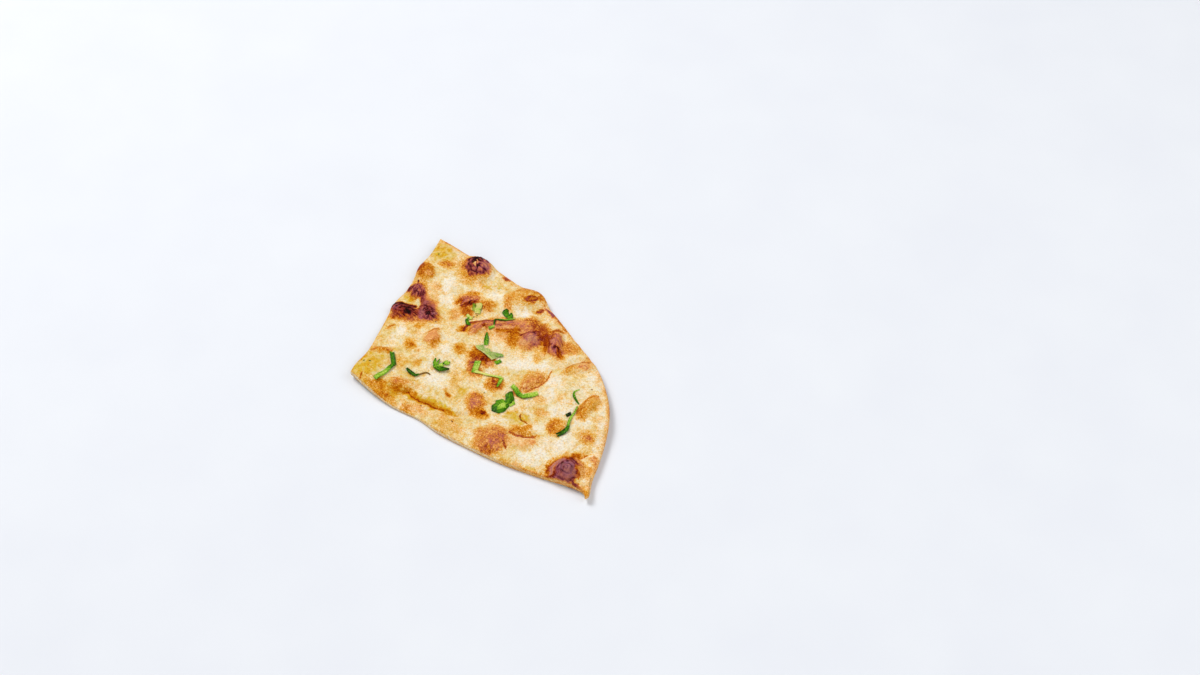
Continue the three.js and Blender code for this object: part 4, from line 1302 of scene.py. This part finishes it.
def add_blade(parts, shades, path=None, widths=None, left=None, right=None,
              pale=0, lift=0, wave=0, crown=0, fold=0, notch=0, dry=0, downy=0):
    """One thin wavy blade, between two edges or along a path."""
    left, right = edges_of_strip(path, widths) if path else (np.array(left), np.array(right))
    length = (lengths_along(left)[-1] + lengths_along(right)[-1]) / 2
    rows = max(6, round(length / LEAF_ROW_LENGTH))
    t = np.linspace(0, 1, rows + 1)[:, None]
    side = np.linspace(-1, 1, LEAF_COLUMNS + 1)[None]
    lefts, rights = points_at(left, t[:, 0]), points_at(right, t[:, 0])
    middle, half = (lefts + rights) / 2, (lefts - rights) / 2
    width = 2 * np.hypot(*half.T)[:, None]
    out = side + RAGGED_EDGE / width * side * wrinkle(t * length, 9 * np.sign(side), 0.8)
    back = notch * (rows * LEAF_ROW_LENGTH) * t**4 * np.exp(-((side / 0.3) ** 2))
    tangent = unit(np.gradient(middle, axis=0))
    x, y = (middle[:, k, None] + half[:, k, None] * out - tangent[:, k, None] * back for k in (0, 1))

    ripple = wave * (1 + np.sin(math.tau * t * length / WAVE_LENGTH))
    arch = max(crown, 0) - crown * side**2 + fold * np.abs(side) ** 1.5
    crumple = 0.12 * ramp(width, 1.2, 3.2) * wrinkle(x, y, 1.7)
    low = crust_under(x, y, LEAF_REACH) + LEAF_CLEARANCE + lift + ripple + arch + crumple

    # Veins run up the middle and slant out from it, the latter on broad blades only.
    slant = np.cos(math.tau * (t * length / VEIN_SPACING - 0.5 * np.abs(side)))
    side_veins = 0.5 * ramp(slant, 0.8, 1) * ramp(width, 1.8, 2.6)
    vein = np.maximum(1 - ramp(np.abs(side), 0.02, 0.2), side_veins)
    shade = np.interp(t, np.linspace(0, 1, len(shades)), shades) + 0.05 * side
    shade = shade - 0.12 * ramp(np.abs(side), 0.7, 1) + abs(pale) * ramp(side * np.sign(pale), 0.45, 0.8)
    under, over = (
        parts.add(np.dstack([x, y, z]).reshape(-1, 3), shade=shade, vein=vein, dry=dry, downy=downy)
        .reshape(x.shape) for z in (low, low + LEAF_THICKNESS)
    )
    if (to_left(tangent) * half).sum() < 0:
        under, over = under[::-1], over[::-1]
    parts.sheet(over)
    parts.sheet(under.T)
    parts.band(ring(under), ring(over))


def leaf(name, blades, material):
    """A piece of chopped coriander, which stands for the frame's node of that name."""
    parts = Parts()
    for form in blades:
        add_blade(parts, **form)
    piece = parts.build(name.replace("coriander", "herb"), material, name)
    piece.data.set_sharp_from_angle(angle=math.radians(50))


def chips(name, rows, material, slot, **values):
    """Small flat chips that lie on the crust, joined in one piece."""
    around = np.arange(CHIP_SIDES) * math.tau / CHIP_SIDES
    parts = Parts()
    for x, y, long, wide, turn in rows:
        angle = math.radians(turn)
        rings = []
        for level in CHIP_LEVELS:
            reach = math.sqrt(1 - level**2) * (1 + 0.3 * wrinkle(3 * around + x, y + level, 1.7)) / 2
            along, across = long * reach * np.cos(around), wide * reach * np.sin(around)
            px = x + along * math.cos(angle) - across * math.sin(angle)
            py = y + along * math.sin(angle) + across * math.cos(angle)
            height = crust_under(x, y, CHIP_REACH) + CHIP_THICKNESS * (level - CHIP_FOOT)
            points = np.column_stack([px, py, np.full(CHIP_SIDES, height)])
            rings.append(parts.add(points, **values))
        for below, above in zip(rings, rings[1:]):
            parts.band(below, above)
        parts.faces += [rings[0][::-1].tolist(), rings[-1].tolist()]
    parts.build(name, material)


# ---- Camera, light and floor ----

def camera():
    """The camera at the photograph's angle, with the wedge where the photograph has it."""
    right = Vector((math.cos(AZIMUTH), math.sin(AZIMUTH), 0))
    away = Vector((-math.sin(AZIMUTH), math.cos(AZIMUTH), 0))
    back = -away * math.cos(ELEVATION) + UP * math.sin(ELEVATION)
    up = back.cross(right)
    focal = LENS / SENSOR * IMAGE_WIDTH
    across = (LOOK_AT_PIXEL[0] - IMAGE_WIDTH / 2) / focal
    down = (LOOK_AT_PIXEL[1] - IMAGE_HEIGHT / 2) / focal
    ray = right * across - up * down - back
    data = bpy.data.cameras.new("camera")
    data.lens = LENS
    data.sensor_width = SENSOR
    data.clip_start, data.clip_end = 0.05, 20
    eye = put_in_scene("camera", data)
    eye.rotation_euler = Matrix((right, up, back)).transposed().to_euler()
    eye.location = Vector(to_frame([LOOK_AT])[0]) - ray * (CAMERA_DISTANCE / 1000)
    bpy.context.scene.camera = eye
    return right, away


def softbox(name, direction, distance, size, brightness):
    """A square soft light that gives a level white surface this brightness."""
    direction = direction.normalized()
    data = bpy.data.lights.new(name, "AREA")
    data.shape = "SQUARE"
    data.size = size
    data.energy = brightness * (math.pi * distance) ** 2 / direction.z
    light = put_in_scene(name, data)
    light.location = direction * distance
    light.rotation_euler = direction.to_track_quat("Z", "Y").to_euler()


def add_floor():
    """A wide level ground just below the bread."""
    half = FLOOR_SIZE / 2
    mesh = bpy.data.meshes.new("floor")
    corners = [(-half, -half, 0), (half, -half, 0), (half, half, 0), (-half, half, 0)]
    mesh.from_pydata(corners, [], [(0, 1, 2, 3)])
    mesh.materials.append(floor_material())
    floor = put_in_scene("floor", mesh)
    floor.location.z = -FLOOR_GAP


def studio():
    """The camera, three softboxes that go with it, an even white sky and the floor."""
    right, away = camera()
    softbox("key", UP - right * 0.6 + away * 0.6, 2.0, 0.9, 0.556)
    softbox("fill", UP * 0.9 + right * 0.9 - away * 0.1, 1.5, 1.2, 0.239)
    softbox("front", UP * 0.5 + right * 0.1 - away * 0.85, 1.8, 1.2, 0.146)
    world = bpy.data.worlds.new("studio")
    world.use_nodes = True
    background = world.node_tree.nodes["Background"]
    background.inputs["Color"].default_value = SKY_COLOUR
    background.inputs["Strength"].default_value = SKY_STRENGTH
    bpy.context.scene.world = world
    bpy.context.scene.view_settings.view_transform = "Standard"
    add_floor()


studio()
crust = crust_material()
bread(crust)
green = leaf_material()
for leaf_name, leaf_blades in CORIANDER.items():
    leaf(leaf_name, leaf_blades, green)
chips("char_chips", CHAR_CHIPS, crust, "bread_crust", tone=1.15, rosy=0.2, butter=0)
chips("herb_chips", HERB_CHIPS, green, "coriander_leaf", shade=0.26, vein=0, dry=0.3, downy=0)
